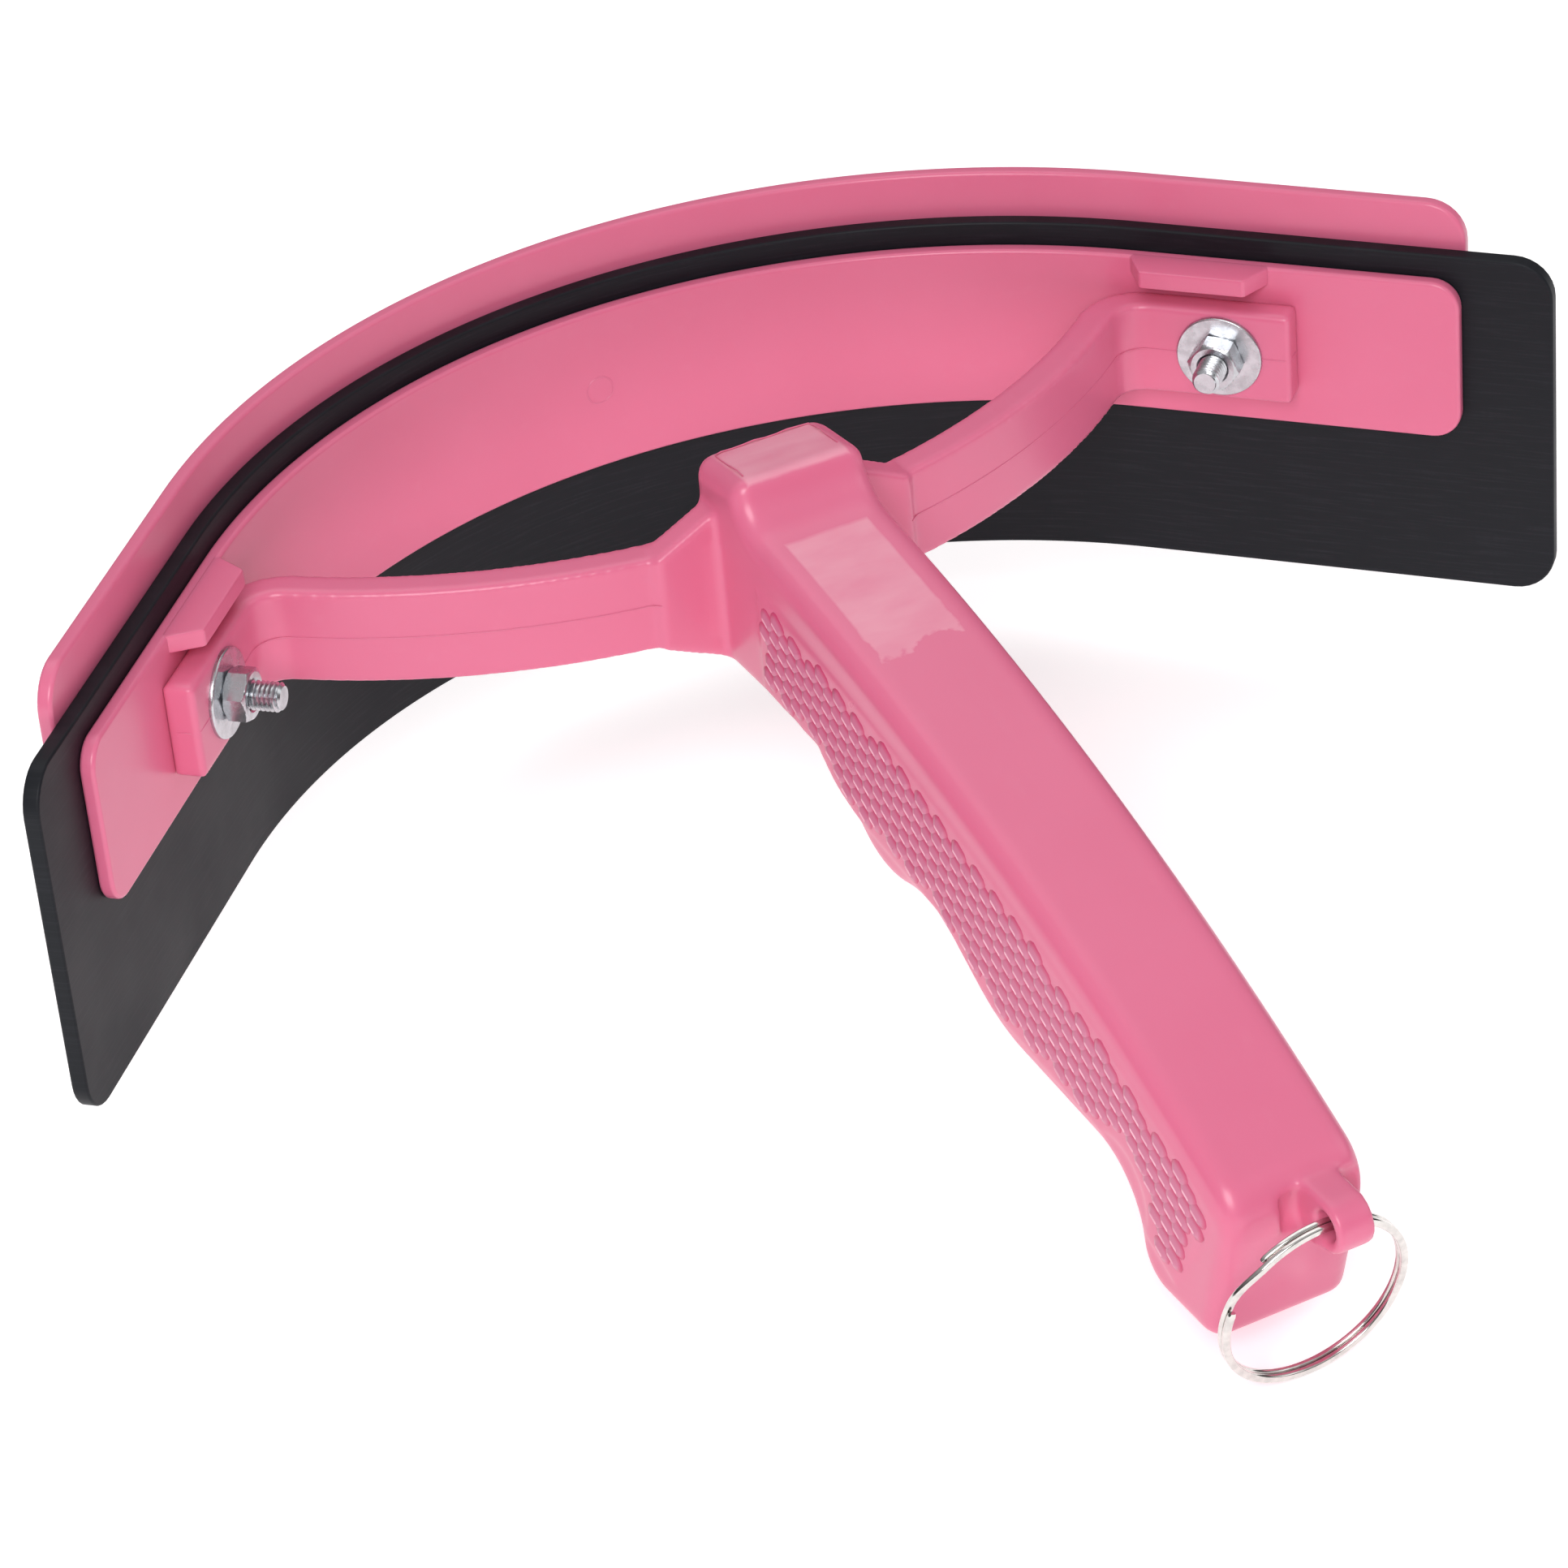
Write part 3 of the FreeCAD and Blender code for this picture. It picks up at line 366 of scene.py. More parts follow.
def bow_tree():
    """Bends a flat strip round the bow and keeps its flat place as a UV map.

    Flat X is the run along the rubber's inner face, flat Y the offset outwards.
    """
    tree, given = new_tree("Bend Round Bow", (
        ("Bow Radius", "Float"),
        ("Half Angle", "Float"),
        ("Bow Centre", "Float"),
        ("Material", "Material"),
    ))
    inner = given["Bow Radius"]
    place = add_node(tree, "GeometryNodeInputPosition")
    run, offset, level = add_node(tree, "ShaderNodeSeparateXYZ", {0: place}).node.outputs
    flat = add_node(tree, "ShaderNodeCombineXYZ", {0: run, 1: level})
    mapped = add_node(
        tree,
        "GeometryNodeStoreNamedAttribute",
        {"Geometry": given["Geometry"], "Name": "Strip", "Value": flat},
        data_type="FLOAT2",
        domain="CORNER",
    )
    # The part of the run that is bowed, and the straight rest beyond it
    reach = add_node(tree, SUM, {0: inner, 1: given["Half Angle"]}, operation="MULTIPLY")
    lowest = add_node(tree, SUM, {0: reach, 1: -1.0}, operation="MULTIPLY")
    held = add_node(tree, SUM, {0: run, 1: reach}, operation="MINIMUM")
    bowed = add_node(tree, SUM, {0: held, 1: lowest}, operation="MAXIMUM")
    straight = add_node(tree, SUM, {0: run, 1: bowed}, operation="SUBTRACT")
    turn = add_node(tree, SUM, {0: bowed, 1: inner}, operation="DIVIDE")
    sine = add_node(tree, SUM, {0: turn}, operation="SINE")
    cosine = add_node(tree, SUM, {0: turn}, operation="COSINE")
    radius = add_node(tree, SUM, {0: inner, 1: offset}, operation="ADD")
    # Across the bow, and out from its centre
    round_x = add_node(tree, SUM, {0: radius, 1: sine}, operation="MULTIPLY")
    beyond_x = add_node(tree, SUM, {0: straight, 1: cosine}, operation="MULTIPLY")
    across = add_node(tree, SUM, {0: round_x, 1: beyond_x}, operation="ADD")
    round_y = add_node(tree, SUM, {0: radius, 1: cosine}, operation="MULTIPLY")
    beyond_y = add_node(tree, SUM, {0: straight, 1: sine}, operation="MULTIPLY")
    out = add_node(tree, SUM, {0: round_y, 1: beyond_y}, operation="SUBTRACT")
    back = add_node(tree, SUM, {0: given["Bow Centre"], 1: out}, operation="ADD")
    bent = add_node(tree, "ShaderNodeCombineXYZ", {0: across, 1: back, 2: level})
    moved = add_node(tree, "GeometryNodeSetPosition", {"Geometry": mapped, "Position": bent})
    end_tree(tree, moved, given["Material"])
    return tree


def bend(piece, material):
    """Bends a flat strip round the bow and gives it its one material."""
    blade = sizes("blade")
    inner_face = -blade.rubber_thick / 2.0
    tree = bpy.data.node_groups.get("Bend Round Bow") or bow_tree()
    nodes_on(piece, tree, {
        "Bow Radius": blade.bow_radius,
        "Half Angle": blade.bow_angle,
        "Bow Centre": inner_face - blade.bow_radius,
        "Material": material,
    })
    crisp(piece)


def strip_piece(node, name, half_run, near, far, corner, rounding, material, extra=None):
    """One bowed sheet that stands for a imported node, at that node's own heights."""
    blade = sizes("blade")
    low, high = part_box(node)

    def build(shape):
        outline = rounded_outline(half_run, low.z, high.z, corner)
        flat_prism(shape, outline, near, far, rounding)
        cut_stations(shape, blade.bow_radius * blade.bow_angle, blade.station_step)
        if extra:
            extra(shape, high.z)

    piece = new_object(name, mesh_from(name, build))
    bend(piece, material)
    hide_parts(node)
    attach(piece, SCRAPER)
    return piece


def add_stops(shape, top):
    """Wedge-ended bars along the plate's upper edge, one over each foot."""
    blade = sizes("blade")
    rounding = 0.5 * MM
    face = -blade.plate_thick
    sunk = face + blade.plate_thick / 2.0
    near = face - blade.stop_depth
    for _, side in SIDES:
        middle = side * blade.stop_middle
        corners = (
            (-blade.stop_root / 2.0, sunk),
            (-blade.stop_root / 2.0, face),
            (-blade.stop_face / 2.0, near),
            (blade.stop_face / 2.0, near),
            (blade.stop_root / 2.0, face),
            (blade.stop_root / 2.0, sunk),
        )
        bottom = top - blade.stop_height
        lower = [shape.verts.new((middle + run, offset, bottom)) for run, offset in corners]
        upper = [shape.verts.new((middle + run, offset, top)) for run, offset in corners]
        faces = [shape.faces.new(lower), shape.faces.new(upper[::-1])]
        for step in range(len(corners)):
            after = (step + 1) % len(corners)
            faces.append(shape.faces.new((lower[after], lower[step], upper[step], upper[after])))
        bmesh.ops.recalc_face_normals(shape, faces=faces)
        edges = list({edge for face in faces for edge in face.edges})
        bmesh.ops.bevel(shape, geom=edges, offset=rounding, segments=2, profile=0.5, affect="EDGES")


def add_ejector_mark(shape, run, level, radius):
    """A faint raised circle left by an ejector pin on the inner plate."""
    blade = sizes("blade")
    bead = 0.16 * MM
    proud = bead * 0.6
    full = 2.0 * math.pi
    rows = []
    for around in np.linspace(0.0, full, 40, endpoint=False):
        row = []
        for turn in np.linspace(0.0, full, 6, endpoint=False):
            reach = radius + bead * math.cos(turn)
            row.append((
                run + reach * math.cos(around),
                -blade.plate_thick - proud * math.sin(turn),
                level + reach * math.sin(around),
            ))
        rows.append(row)
    grid_faces(shape, rows, closed_rows=True)


# Turned and threaded pieces

def turned(shape, profile, steps=64, wobble=None):
    """A skin turned about Z through (radius, height) points, open at both ends.

    A wobble function may change the radius at each angle, as a nut's flats do.
    """
    rows = []
    for radius, height in profile:
        row = []
        for step in range(steps):
            around = 2.0 * math.pi * step / steps
            reach = wobble(radius, height, around) if wobble else radius
            row.append((reach * math.cos(around), reach * math.sin(around), height))
        rows.append(row)
    return grid_faces(shape, rows)


def cap(shape, ring):
    """Closes a ring of points with one flat face."""
    shape.faces.new(ring)


def thread_solid(shape, size, pitch, start, tip, chamfer):
    """A rod with a helical vee thread from start to tip, chamfered at the tip."""
    steps = 40
    depth = 0.6134 * pitch
    crest, root = size / 2.0, size / 2.0 - depth
    # A metric thread's section over one turn: flat crest, flank, flat root, flank
    phases = ((0.0, crest), (0.125, crest), (0.4375, root), (0.6875, root))
    turns = int((tip - start) / pitch) + 2
    rows = []
    for turn in range(-1, turns):
        for phase, radius in phases:
            rows.append((start + (turn + phase) * pitch, radius))
    made = []
    for height, radius in rows:
        row = []
        for step in range(steps + 1):
            level = min(max(height + pitch * step / steps, start), tip)
            reach = min(radius, crest - chamfer + (tip - level))
            around = 2.0 * math.pi * step / steps
            row.append(shape.verts.new((reach * math.cos(around), reach * math.sin(around), level)))
        made.append(row)
    for near, far in zip(made, made[1:]):
        for step in range(steps):
            shape.faces.new((near[step], near[step + 1], far[step + 1], far[step]))
    bmesh.ops.remove_doubles(shape, verts=shape.verts, dist=0.004 * MM)
    rims = [edge for edge in shape.edges if len(edge.link_faces) == 1]
    bmesh.ops.holes_fill(shape, edges=rims, sides=0)


def bolt_matrix(side):
    """Local frame on a bolt's axis: Z points out of the nut, 0 at the washer's seat."""
    blade, parts = sizes("blade"), sizes("fasteners")
    low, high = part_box("left_nut" if side < 0 else "right_nut")
    inward = Vector((-side * math.sin(blade.bow_angle), -math.cos(blade.bow_angle), 0.0))
    seat = (low + high) / 2.0 - inward * (parts.nut_thick / 2.0 + parts.washer_thick)
    turn = inward.to_track_quat("Z", "Y").to_matrix().to_4x4()
    return Matrix.Translation(seat) @ turn


def fastener(node, name, side, spin, build, material, degrees=40.0):
    """A turned piece set on a bolt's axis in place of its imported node."""
    mesh = mesh_from(name, build)
    mesh.transform(bolt_matrix(side) @ Matrix.Rotation(spin, 4, "Z"))
    mesh.materials.append(material)
    piece = new_object(name, mesh)
    crisp(piece, degrees)
    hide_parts(node)
    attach(piece, SCRAPER)
    return piece


def hexagon(flats):
    """Radius of a hexagon at each angle, limited to the asked radius."""
    def reach(radius, height, around):
        turn = (around + math.pi / 6.0) % (math.pi / 3.0) - math.pi / 6.0
        return min(radius, flats / 2.0 / math.cos(turn))
    return reach


def build_washer(shape):
    """A punched washer: crisp underneath, with a rolled rim on top."""
    parts = sizes("fasteners")
    inner = parts.washer_bore / 2.0
    outer = parts.washer_width / 2.0
    top = parts.washer_thick
    edge = 0.1 * MM
    rolled = 0.3 * MM
    rows = turned(shape, (
        (inner, 0.0),
        (outer - edge, 0.0),
        (outer, 0.12 * MM),
        (outer, top - rolled),
        (outer - 0.35 * rolled, top - 0.35 * rolled),
        (outer - rolled, top),
        (inner + edge, top),
        (inner, top - edge),
    ))
    close_round(shape, rows)


def close_round(shape, rows):
    """Joins the last ring of points to the first one."""
    count = len(rows[0])
    for step in range(count):
        after = (step + 1) % count
        shape.faces.new((rows[-1][step], rows[-1][after], rows[0][after], rows[0][step]))


def build_nut(shape):
    """A hexagon nut whose corners are cut back by a cone at both ends."""
    parts = sizes("fasteners")
    low, high = parts.washer_thick, parts.washer_thick + parts.nut_thick
    corner = parts.nut_flats / math.sqrt(3.0)
    inset = 0.2 * MM
    countersink = 0.35 * MM
    flat = parts.nut_flats / 2.0
    bore = parts.thread / 2.0
    drop = (corner - flat + inset) * math.tan(math.radians(30.0))
    profile = [(bore + countersink, low), (flat - inset, low)]
    for share in (0.25, 0.5, 0.75, 1.0):
        profile.append((flat - inset + share * (corner - flat + inset), low + share * drop))
    for share in (1.0, 0.75, 0.5, 0.25, 0.0):
        profile.append((flat - inset + share * (corner - flat + inset), high - share * drop))
    profile += [(bore + countersink, high), (bore, high - countersink), (bore, low + countersink)]
    rows = turned(shape, profile, steps=96, wobble=hexagon(parts.nut_flats))
    close_round(shape, rows)


def build_bolt(shape):
    """A pan-head bolt with a hexagon key recess and a threaded shank."""
    parts = sizes("fasteners")
    steps = 72
    edge = 0.15 * MM
    under = -parts.clamp
    top = under - parts.head_thick
    tip = parts.washer_thick + parts.nut_thick + parts.tip_run
    size = parts.thread - 0.06 * MM
    thread_solid(shape, size, parts.pitch, under + 0.2 * MM, tip, 0.6 * MM)
    head = parts.head_width / 2.0
    key = parts.drive / 2.0
    floor = top + parts.drive_deep
    key_corner = key / math.cos(math.pi / 6.0)
    walls = [(key_corner, floor), (key_corner, top + 0.1 * MM)]
    hollow = turned(shape, walls, steps=steps, wobble=hexagon(parts.drive))
    cap(shape, hollow[0])
    rounds = 8
    outside = [(1.25 * key, top)]
    crown = parts.head_thick - 1.5 * MM
    for step in range(rounds + 1):
        around = math.radians(90.0 * step / rounds)
        reach = head - crown * (1.0 - math.sin(around))
        outside.append((reach, top + crown * (1.0 - math.cos(around))))
    neck = parts.thread / 2.0 - 0.3 * MM
    outside += [(head, under - edge), (head - edge, under), (neck, under)]
    rows = turned(shape, outside, steps=steps)
    cap(shape, rows[-1])
    for step in range(steps):
        after = (step + 1) % steps
        shape.faces.new((hollow[-1][step], hollow[-1][after], rows[0][after], rows[0][step]))


# Grip, neck and arms

def refined(node, steps):
    """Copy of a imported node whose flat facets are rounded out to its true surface.

    Each triangle is divided and its points are drawn half way to the tangent
    planes at its corners, which puts them on the arc between two facets.
    """
    source = frame["nodes"][node].data
    source.calc_loop_triangles()
    count = len(source.loop_triangles)
    corners = np.empty(count * 3, dtype=np.int32)
    source.loop_triangles.foreach_get("loops", corners)
    points = np.empty(len(source.vertices) * 3)
    source.vertices.foreach_get("co", points)
    owner = np.empty(len(source.loops), dtype=np.int32)
    source.loops.foreach_get("vertex_index", owner)
    normals = np.empty(len(source.loops) * 3)
    source.corner_normals.foreach_get("vector", normals)
    place = points.reshape(-1, 3)[owner[corners]].reshape(count, 3, 3)
    facing = normals.reshape(-1, 3)[corners].reshape(count, 3, 3)
    cells = [(i, j) for i in range(steps + 1) for j in range(steps + 1 - i)]
    shares = [(1.0 - (i + j) / steps, i / steps, j / steps) for i, j in cells]
    number = {cell: index for index, cell in enumerate(cells)}
    drawn = []
    for share in shares:
        flat = sum(weight * place[:, k] for k, weight in enumerate(share))
        lifted = np.zeros_like(flat)
        for k, weight in enumerate(share):
            off = np.einsum("ij,ij->i", flat - place[:, k], facing[:, k])
            lifted += weight * (flat - off[:, None] * facing[:, k])
        drawn.append(0.5 * flat + 0.5 * lifted)
    small = []
    for i in range(steps):
        for j in range(steps - i):
            small.append((number[i, j], number[i + 1, j], number[i, j + 1]))
            if i + j < steps - 1:
                small.append((number[i + 1, j], number[i + 1, j + 1], number[i, j + 1]))
    verts = np.stack(drawn, axis=1).reshape(-1, 3)
    base = np.arange(count)[:, None, None] * len(shares)
    faces = (base + np.array(small)[None]).reshape(-1, 3)
    mesh = bpy.data.meshes.new(node + "_refined")
    mesh.from_pydata(verts.tolist(), [], faces.tolist())
    shape = bmesh.new()
    shape.from_mesh(mesh)
    bmesh.ops.remove_doubles(shape, verts=shape.verts, dist=0.01 * MM)
    shape.to_mesh(mesh)
    shape.free()
    return mesh


def moulded(piece, step, passes):
    """Gives a solid one skin with the softly rounded edges of a moulding."""
    skin = piece.modifiers.new("Skin", "REMESH")
    skin.mode = "VOXEL"
    skin.voxel_size = step
    skin.use_smooth_shade = True
    soft = piece.modifiers.new("Soften", "SMOOTH")
    soft.factor = 0.5
    soft.iterations = passes
    settle(piece)
    piece.data.shade_smooth()


def panel_outline(side):
    """The flat face of one raised side panel, as a mesh of its own."""
    source = frame["nodes"]["handle"].data
    shape = bmesh.new()
    shape.from_mesh(source)
    bmesh.ops.remove_doubles(shape, verts=shape.verts, dist=0.001 * MM)
    neck_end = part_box("handle")[0].y * 0.42
    plane = max(vert.co.x * side for vert in shape.verts if vert.co.y < neck_end)
    others = [face for face in shape.faces
              if any(abs(vert.co.x * side - plane) > 0.01 * MM for vert in face.verts)]
    bmesh.ops.delete(shape, geom=others, context="FACES")
    mesh = bpy.data.meshes.new("panel_face")
    shape.to_mesh(mesh)
    shape.free()
    return mesh, plane


def scale_tree():
    """Staggered rows of scales over a flat panel, short of a plain rim."""
    tree, given = new_tree("Scale Rows", (
        ("Panel", "Object"),
        ("Scale", "Object"),
        ("Along", "Vector"),
        ("Down", "Vector"),
        ("Middle", "Vector"),
        ("Rows", "Int"),
        ("Rim", "Float"),
        ("Inward", "Vector"),
        ("Material", "Material"),
    ))
    panel = add_node(
        tree, "GeometryNodeObjectInfo", {"Object": given["Panel"]}, output="Geometry"
    )
    scale = add_node(
        tree, "GeometryNodeObjectInfo", {"Object": given["Scale"]}, output="Geometry"
    )
    # A square grid of one metre steps, sheared on to the rows' own two directions
    span = add_node(tree, SUM, {0: given["Rows"], 1: 1.0}, operation="SUBTRACT")
    grid = add_node(tree, "GeometryNodeMeshGrid", {
        "Size X": span,
        "Size Y": span,
        "Vertices X": given["Rows"],
        "Vertices Y": given["Rows"],
    })
    place = add_node(tree, "GeometryNodeInputPosition")
    across, up, _ = add_node(tree, "ShaderNodeSeparateXYZ", {0: place}).node.outputs
    along = add_node(tree, VECTOR, {0: given["Along"], "Scale": across}, operation="SCALE")
    down = add_node(tree, VECTOR, {0: given["Down"], "Scale": up}, operation="SCALE")
    both = add_node(tree, VECTOR, {0: along, 1: down}, operation="ADD")
    spot = add_node(tree, VECTOR, {0: both, 1: given["Middle"]}, operation="ADD")
    lattice = add_node(tree, "GeometryNodeSetPosition", {"Geometry": grid, "Position": spot})
    # Keeps the points that lie over the panel and clear of its rim
    seen = add_node(tree, "GeometryNodeInputPosition")
    back = add_node(tree, VECTOR, {0: given["Inward"], "Scale": -MM}, operation="SCALE")
    above = add_node(tree, VECTOR, {0: seen, 1: back}, operation="ADD")
    over = add_node(tree, "GeometryNodeRaycast", {
        "Target Geometry": panel,
        "Source Position": above,
        "Ray Direction": given["Inward"],
        "Ray Length": 2 * MM,
    }, output="Is Hit")
    neighbours = add_node(tree, "GeometryNodeInputMeshEdgeNeighbors")
    on_rim = add_node(tree, SUM, {0: neighbours, 1: 1.5}, operation="LESS_THAN")
    rim = add_node(
        tree,
        "GeometryNodeSeparateGeometry",
        {"Geometry": panel, "Selection": on_rim},
        domain="EDGE",
    )
    near = add_node(
        tree, "GeometryNodeProximity", {0: rim}, output="Distance", target_element="EDGES"
    )
    clear = add_node(tree, SUM, {0: near, 1: given["Rim"]}, operation="GREATER_THAN")
    kept = add_node(tree, "FunctionNodeBooleanMath", {0: over, 1: clear}, operation="AND")
    stood = add_node(tree, "GeometryNodeInstanceOnPoints", {
        "Points": lattice,
        "Selection": kept,
        "Instance": scale,
    })
    end_tree(tree, stood, given["Material"])
    return tree


def scale_mesh(crest, side, rise, reach):
    """One scale: a short rounded crest with even slopes that fall away all round.

    The slopes of neighbours cut each other half way, which makes the wavy valleys
    between the rows. Its Lift attribute says how high each point stands.
    """
    steps = 12
    forward = crest.normalized()
    out = Vector((side, 0.0, 0.0))
    aside = out.cross(forward)
    contours = ((1.1, -0.1), (0.5, 0.56), (0.1, 0.98))
    lifts = []

    def build(shape):
        rows = []
        for share, lift in contours:
            row = []
            for step in range(steps):
                around = 2.0 * math.pi * (step + 0.5) / steps
                end = math.copysign(0.5, math.cos(around))
                flat = forward * math.cos(around) + aside * math.sin(around)
                row.append(crest * end + flat * reach * share + out * rise * lift)
                lifts.append(max(lift, 0.0))
            rows.append(row)
        made = grid_faces(shape, rows)
        cap(shape, made[0])
        cap(shape, made[-1])

    mesh = mesh_from("scale", build)
    mesh.attributes.new("Lift", "FLOAT", "POINT").data.foreach_set("value", lifts)
    return mesh


def flash_tree():
    """A fine bead along every edge it is given."""
    tree, given = new_tree("Flash Bead", (("Bead Radius", "Float"), ("Material", "Material")))
    line = add_node(tree, "GeometryNodeMeshToCurve", {"Mesh": given["Geometry"]})
    even = add_node(
        tree, "GeometryNodeResampleCurve", {"Curve": line, "Length": 2.0 * MM}, mode="LENGTH"
    )
    bead = add_node(tree, "GeometryNodeCurvePrimitiveCircle", {
        "Resolution": 6,
        "Radius": given["Bead Radius"],
    })
    body = add_node(tree, "GeometryNodeCurveToMesh", {
        "Curve": even,
        "Profile Curve": bead,
        "Fill Caps": True,
    })
    smooth = add_node(tree, "GeometryNodeSetShadeSmooth", {"Geometry": body})
    end_tree(tree, smooth, given["Material"])
    return tree


# Split ring

def ring_axes():
    """The ring's centre, the way it hangs and its axis, all from the joint and mount."""
    hole = Vector(frame["joints"][0]["pos_m"])
    mount = next(item for item in frame["record"]["mounts"] if item["name"] == "hang_ring")
    centre = Vector(mount["pos_m"])
    fall = (centre - hole).normalized()
    axis = Vector((1.0, 0.0, 0.0)).cross(Vector((0.0, fall.y, fall.z))).normalized()
    return centre, fall, axis


def smooth_share(value):
    """Eases a value in and out between nought and one."""
    held = min(max(value, 0.0), 1.0)
    return held * held * (3.0 - 2.0 * held)


def build_ring(shape):
    """Two coils of flattened wire with one short step across between them."""
    parts = sizes("split_ring")
    centre, fall, axis = ring_axes()
    across = axis.cross(fall)
    middle = parts.ring_width / 2.0 - parts.wire_deep / 2.0
    spread = (parts.wire_thick + parts.coil_gap) / 2.0
    steps = 460
    section = 16
    tapers = (0.72, 0.93, 1.0)
    rows = []
    for index in range(steps + 1):
        around = parts.start + (parts.finish - parts.start) * index / steps
        share = smooth_share((around - parts.step_start) / (parts.step_finish - parts.step_start))
        layer = -spread + 2.0 * spread * share
        outward = -fall * math.cos(around) + across * math.sin(around)
        from_end = min(index, steps - index)
        slim = tapers[min(from_end, 2)]
        row = []
        for step in range(section):
            turn = 2.0 * math.pi * (step + 0.5) / section
            deep = superellipse(math.cos(turn)) * parts.wire_deep / 2.0 * slim
            thick = superellipse(math.sin(turn)) * parts.wire_thick / 2.0 * slim
            row.append(centre + outward * (middle + deep) + axis * (layer + thick))
        rows.append(row)
    made = grid_faces(shape, rows)
    cap(shape, made[0])
    cap(shape, made[-1])


def superellipse(value):
    """Squares a round section a little, as flattened wire is."""
    return math.copysign(abs(value) ** 0.62, value)


# Finishes

def new_material(name):
    """An empty material: its tree, its shader and the piece's own coordinates."""
    material = bpy.data.materials.new(name)
    material.use_nodes = True
    tree = material.node_tree
    tree.nodes.clear()
    shader = tree.nodes.new("ShaderNodeBsdfPrincipled")
    add_node(tree, "ShaderNodeOutputMaterial", {"Surface": shader.outputs[0]})
    coords = add_node(tree, "ShaderNodeTexCoord", output="Object")
    return material, tree, shader, coords


def noise(tree, coords, size, detail=3.0, stretch=(1.0, 1.0, 1.0)):
    """Noise with features of a real size in metres, stretched along the axes."""
    scale = tuple(1.0 / (size * part) for part in stretch)
    moved = add_node(tree, "ShaderNodeMapping", {"Vector": coords, "Scale": scale})
    grain = {"Vector": moved, "Scale": 1.0, "Detail": detail}
    return add_node(tree, "ShaderNodeTexNoise", grain, output="Fac")


def span_inputs(value, low, high, start=0.0, end=1.0):
    """The inputs that carry a value's span from low to high over to start to end."""
    return {0: value, 1: low, 2: high, 3: start, 4: end}


def blend_inputs(factor, first, second):
    """The inputs that blend two colours by a factor."""
    return {0: factor, 6: first, 7: second}


def patch(tree, coords, middle, half, ragged, frayed=0.0):
    """One inside a box-shaped patch and nought outside.

    Ragged roughens every edge, and frayed only the end that lies towards -Y.
    """
    local = add_node(tree, VECTOR, {0: coords, 1: middle}, operation="SUBTRACT")
    scaled = add_node(tree, VECTOR, {0: local, 1: half}, operation="DIVIDE")
    size = add_node(tree, VECTOR, {0: scaled}, operation="ABSOLUTE")
    wide, long, tall = add_node(tree, "ShaderNodeSeparateXYZ", {0: size}).node.outputs
    larger = add_node(tree, SUM, {0: wide, 1: long}, operation="MAXIMUM")
    widest = add_node(tree, SUM, {0: larger, 1: tall}, operation="MAXIMUM")
    end = add_node(tree, "ShaderNodeSeparateXYZ", {0: scaled}, output=1)
    amount = add_node(tree, RANGE, span_inputs(end, -1.0, -0.3, ragged + frayed, ragged))
    grain = noise(tree, coords, 3.0 * MM)
    speckle = add_node(tree, SUM, {0: grain, 1: 0.5}, operation="SUBTRACT")
    rough = add_node(tree, SUM, {0: speckle, 1: amount, 2: widest}, operation="MULTIPLY_ADD")
    return add_node(tree, RANGE, span_inputs(rough, 0.97, 1.03, 1.0, 0.0))


def bite(tree, coords, middle, radius):
    """Nought inside a ball with a ragged rim and one outside."""
    away = add_node(tree, VECTOR, {0: coords, 1: middle}, output="Value", operation="DISTANCE")
    grain = noise(tree, coords, 1.2 * MM)
    rough = add_node(tree, SUM, {0: grain, 1: 2.0 * MM, 2: away}, operation="MULTIPLY_ADD")
    return add_node(tree, RANGE, span_inputs(rough, radius, radius + 0.6 * MM))


def neck_wear_and_highlight(tree, coords):
    """Where the neck's roof is rubbed pale, and where a pale painted highlight lies on the top of the
    grip behind it.
    """
    back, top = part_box("handle")[1].yz
    roof_middle = (0.0, back - 33.2 * MM, top)
    roof_half = (9.2 * MM, 7.2 * MM, 3.5 * MM)
    highlight_middle = (-0.3 * MM, back - 64.8 * MM, top - 12.0 * MM)
    highlight_half = (7.4 * MM, 15.6 * MM, 8.0 * MM)
    hollow_middle = (2.6 * MM, back - 84.5 * MM, top - 14.0 * MM)
    roof = patch(tree, coords, roof_middle, roof_half, 0.05)
    # The patch on the grip behind the neck is a painted highlight; the roof patch is rubbed wear.
    palm_highlight = patch(tree, coords, highlight_middle, highlight_half, 0.03, 0.35)
    hollow = bite(tree, coords, hollow_middle, 7.0 * MM)
    palm_highlight = add_node(tree, SUM, {0: palm_highlight, 1: hollow}, operation="MULTIPLY")
    streaks = noise(tree, coords, 5.0 * MM, stretch=(2.5, 1.0, 1.0))
    smear = add_node(tree, RANGE, span_inputs(streaks, 0.3, 0.7, 0.55, 1.0))
    either = add_node(tree, SUM, {0: roof, 1: palm_highlight}, operation="MAXIMUM")
    return add_node(tree, SUM, {0: either, 1: smear}, operation="MULTIPLY")


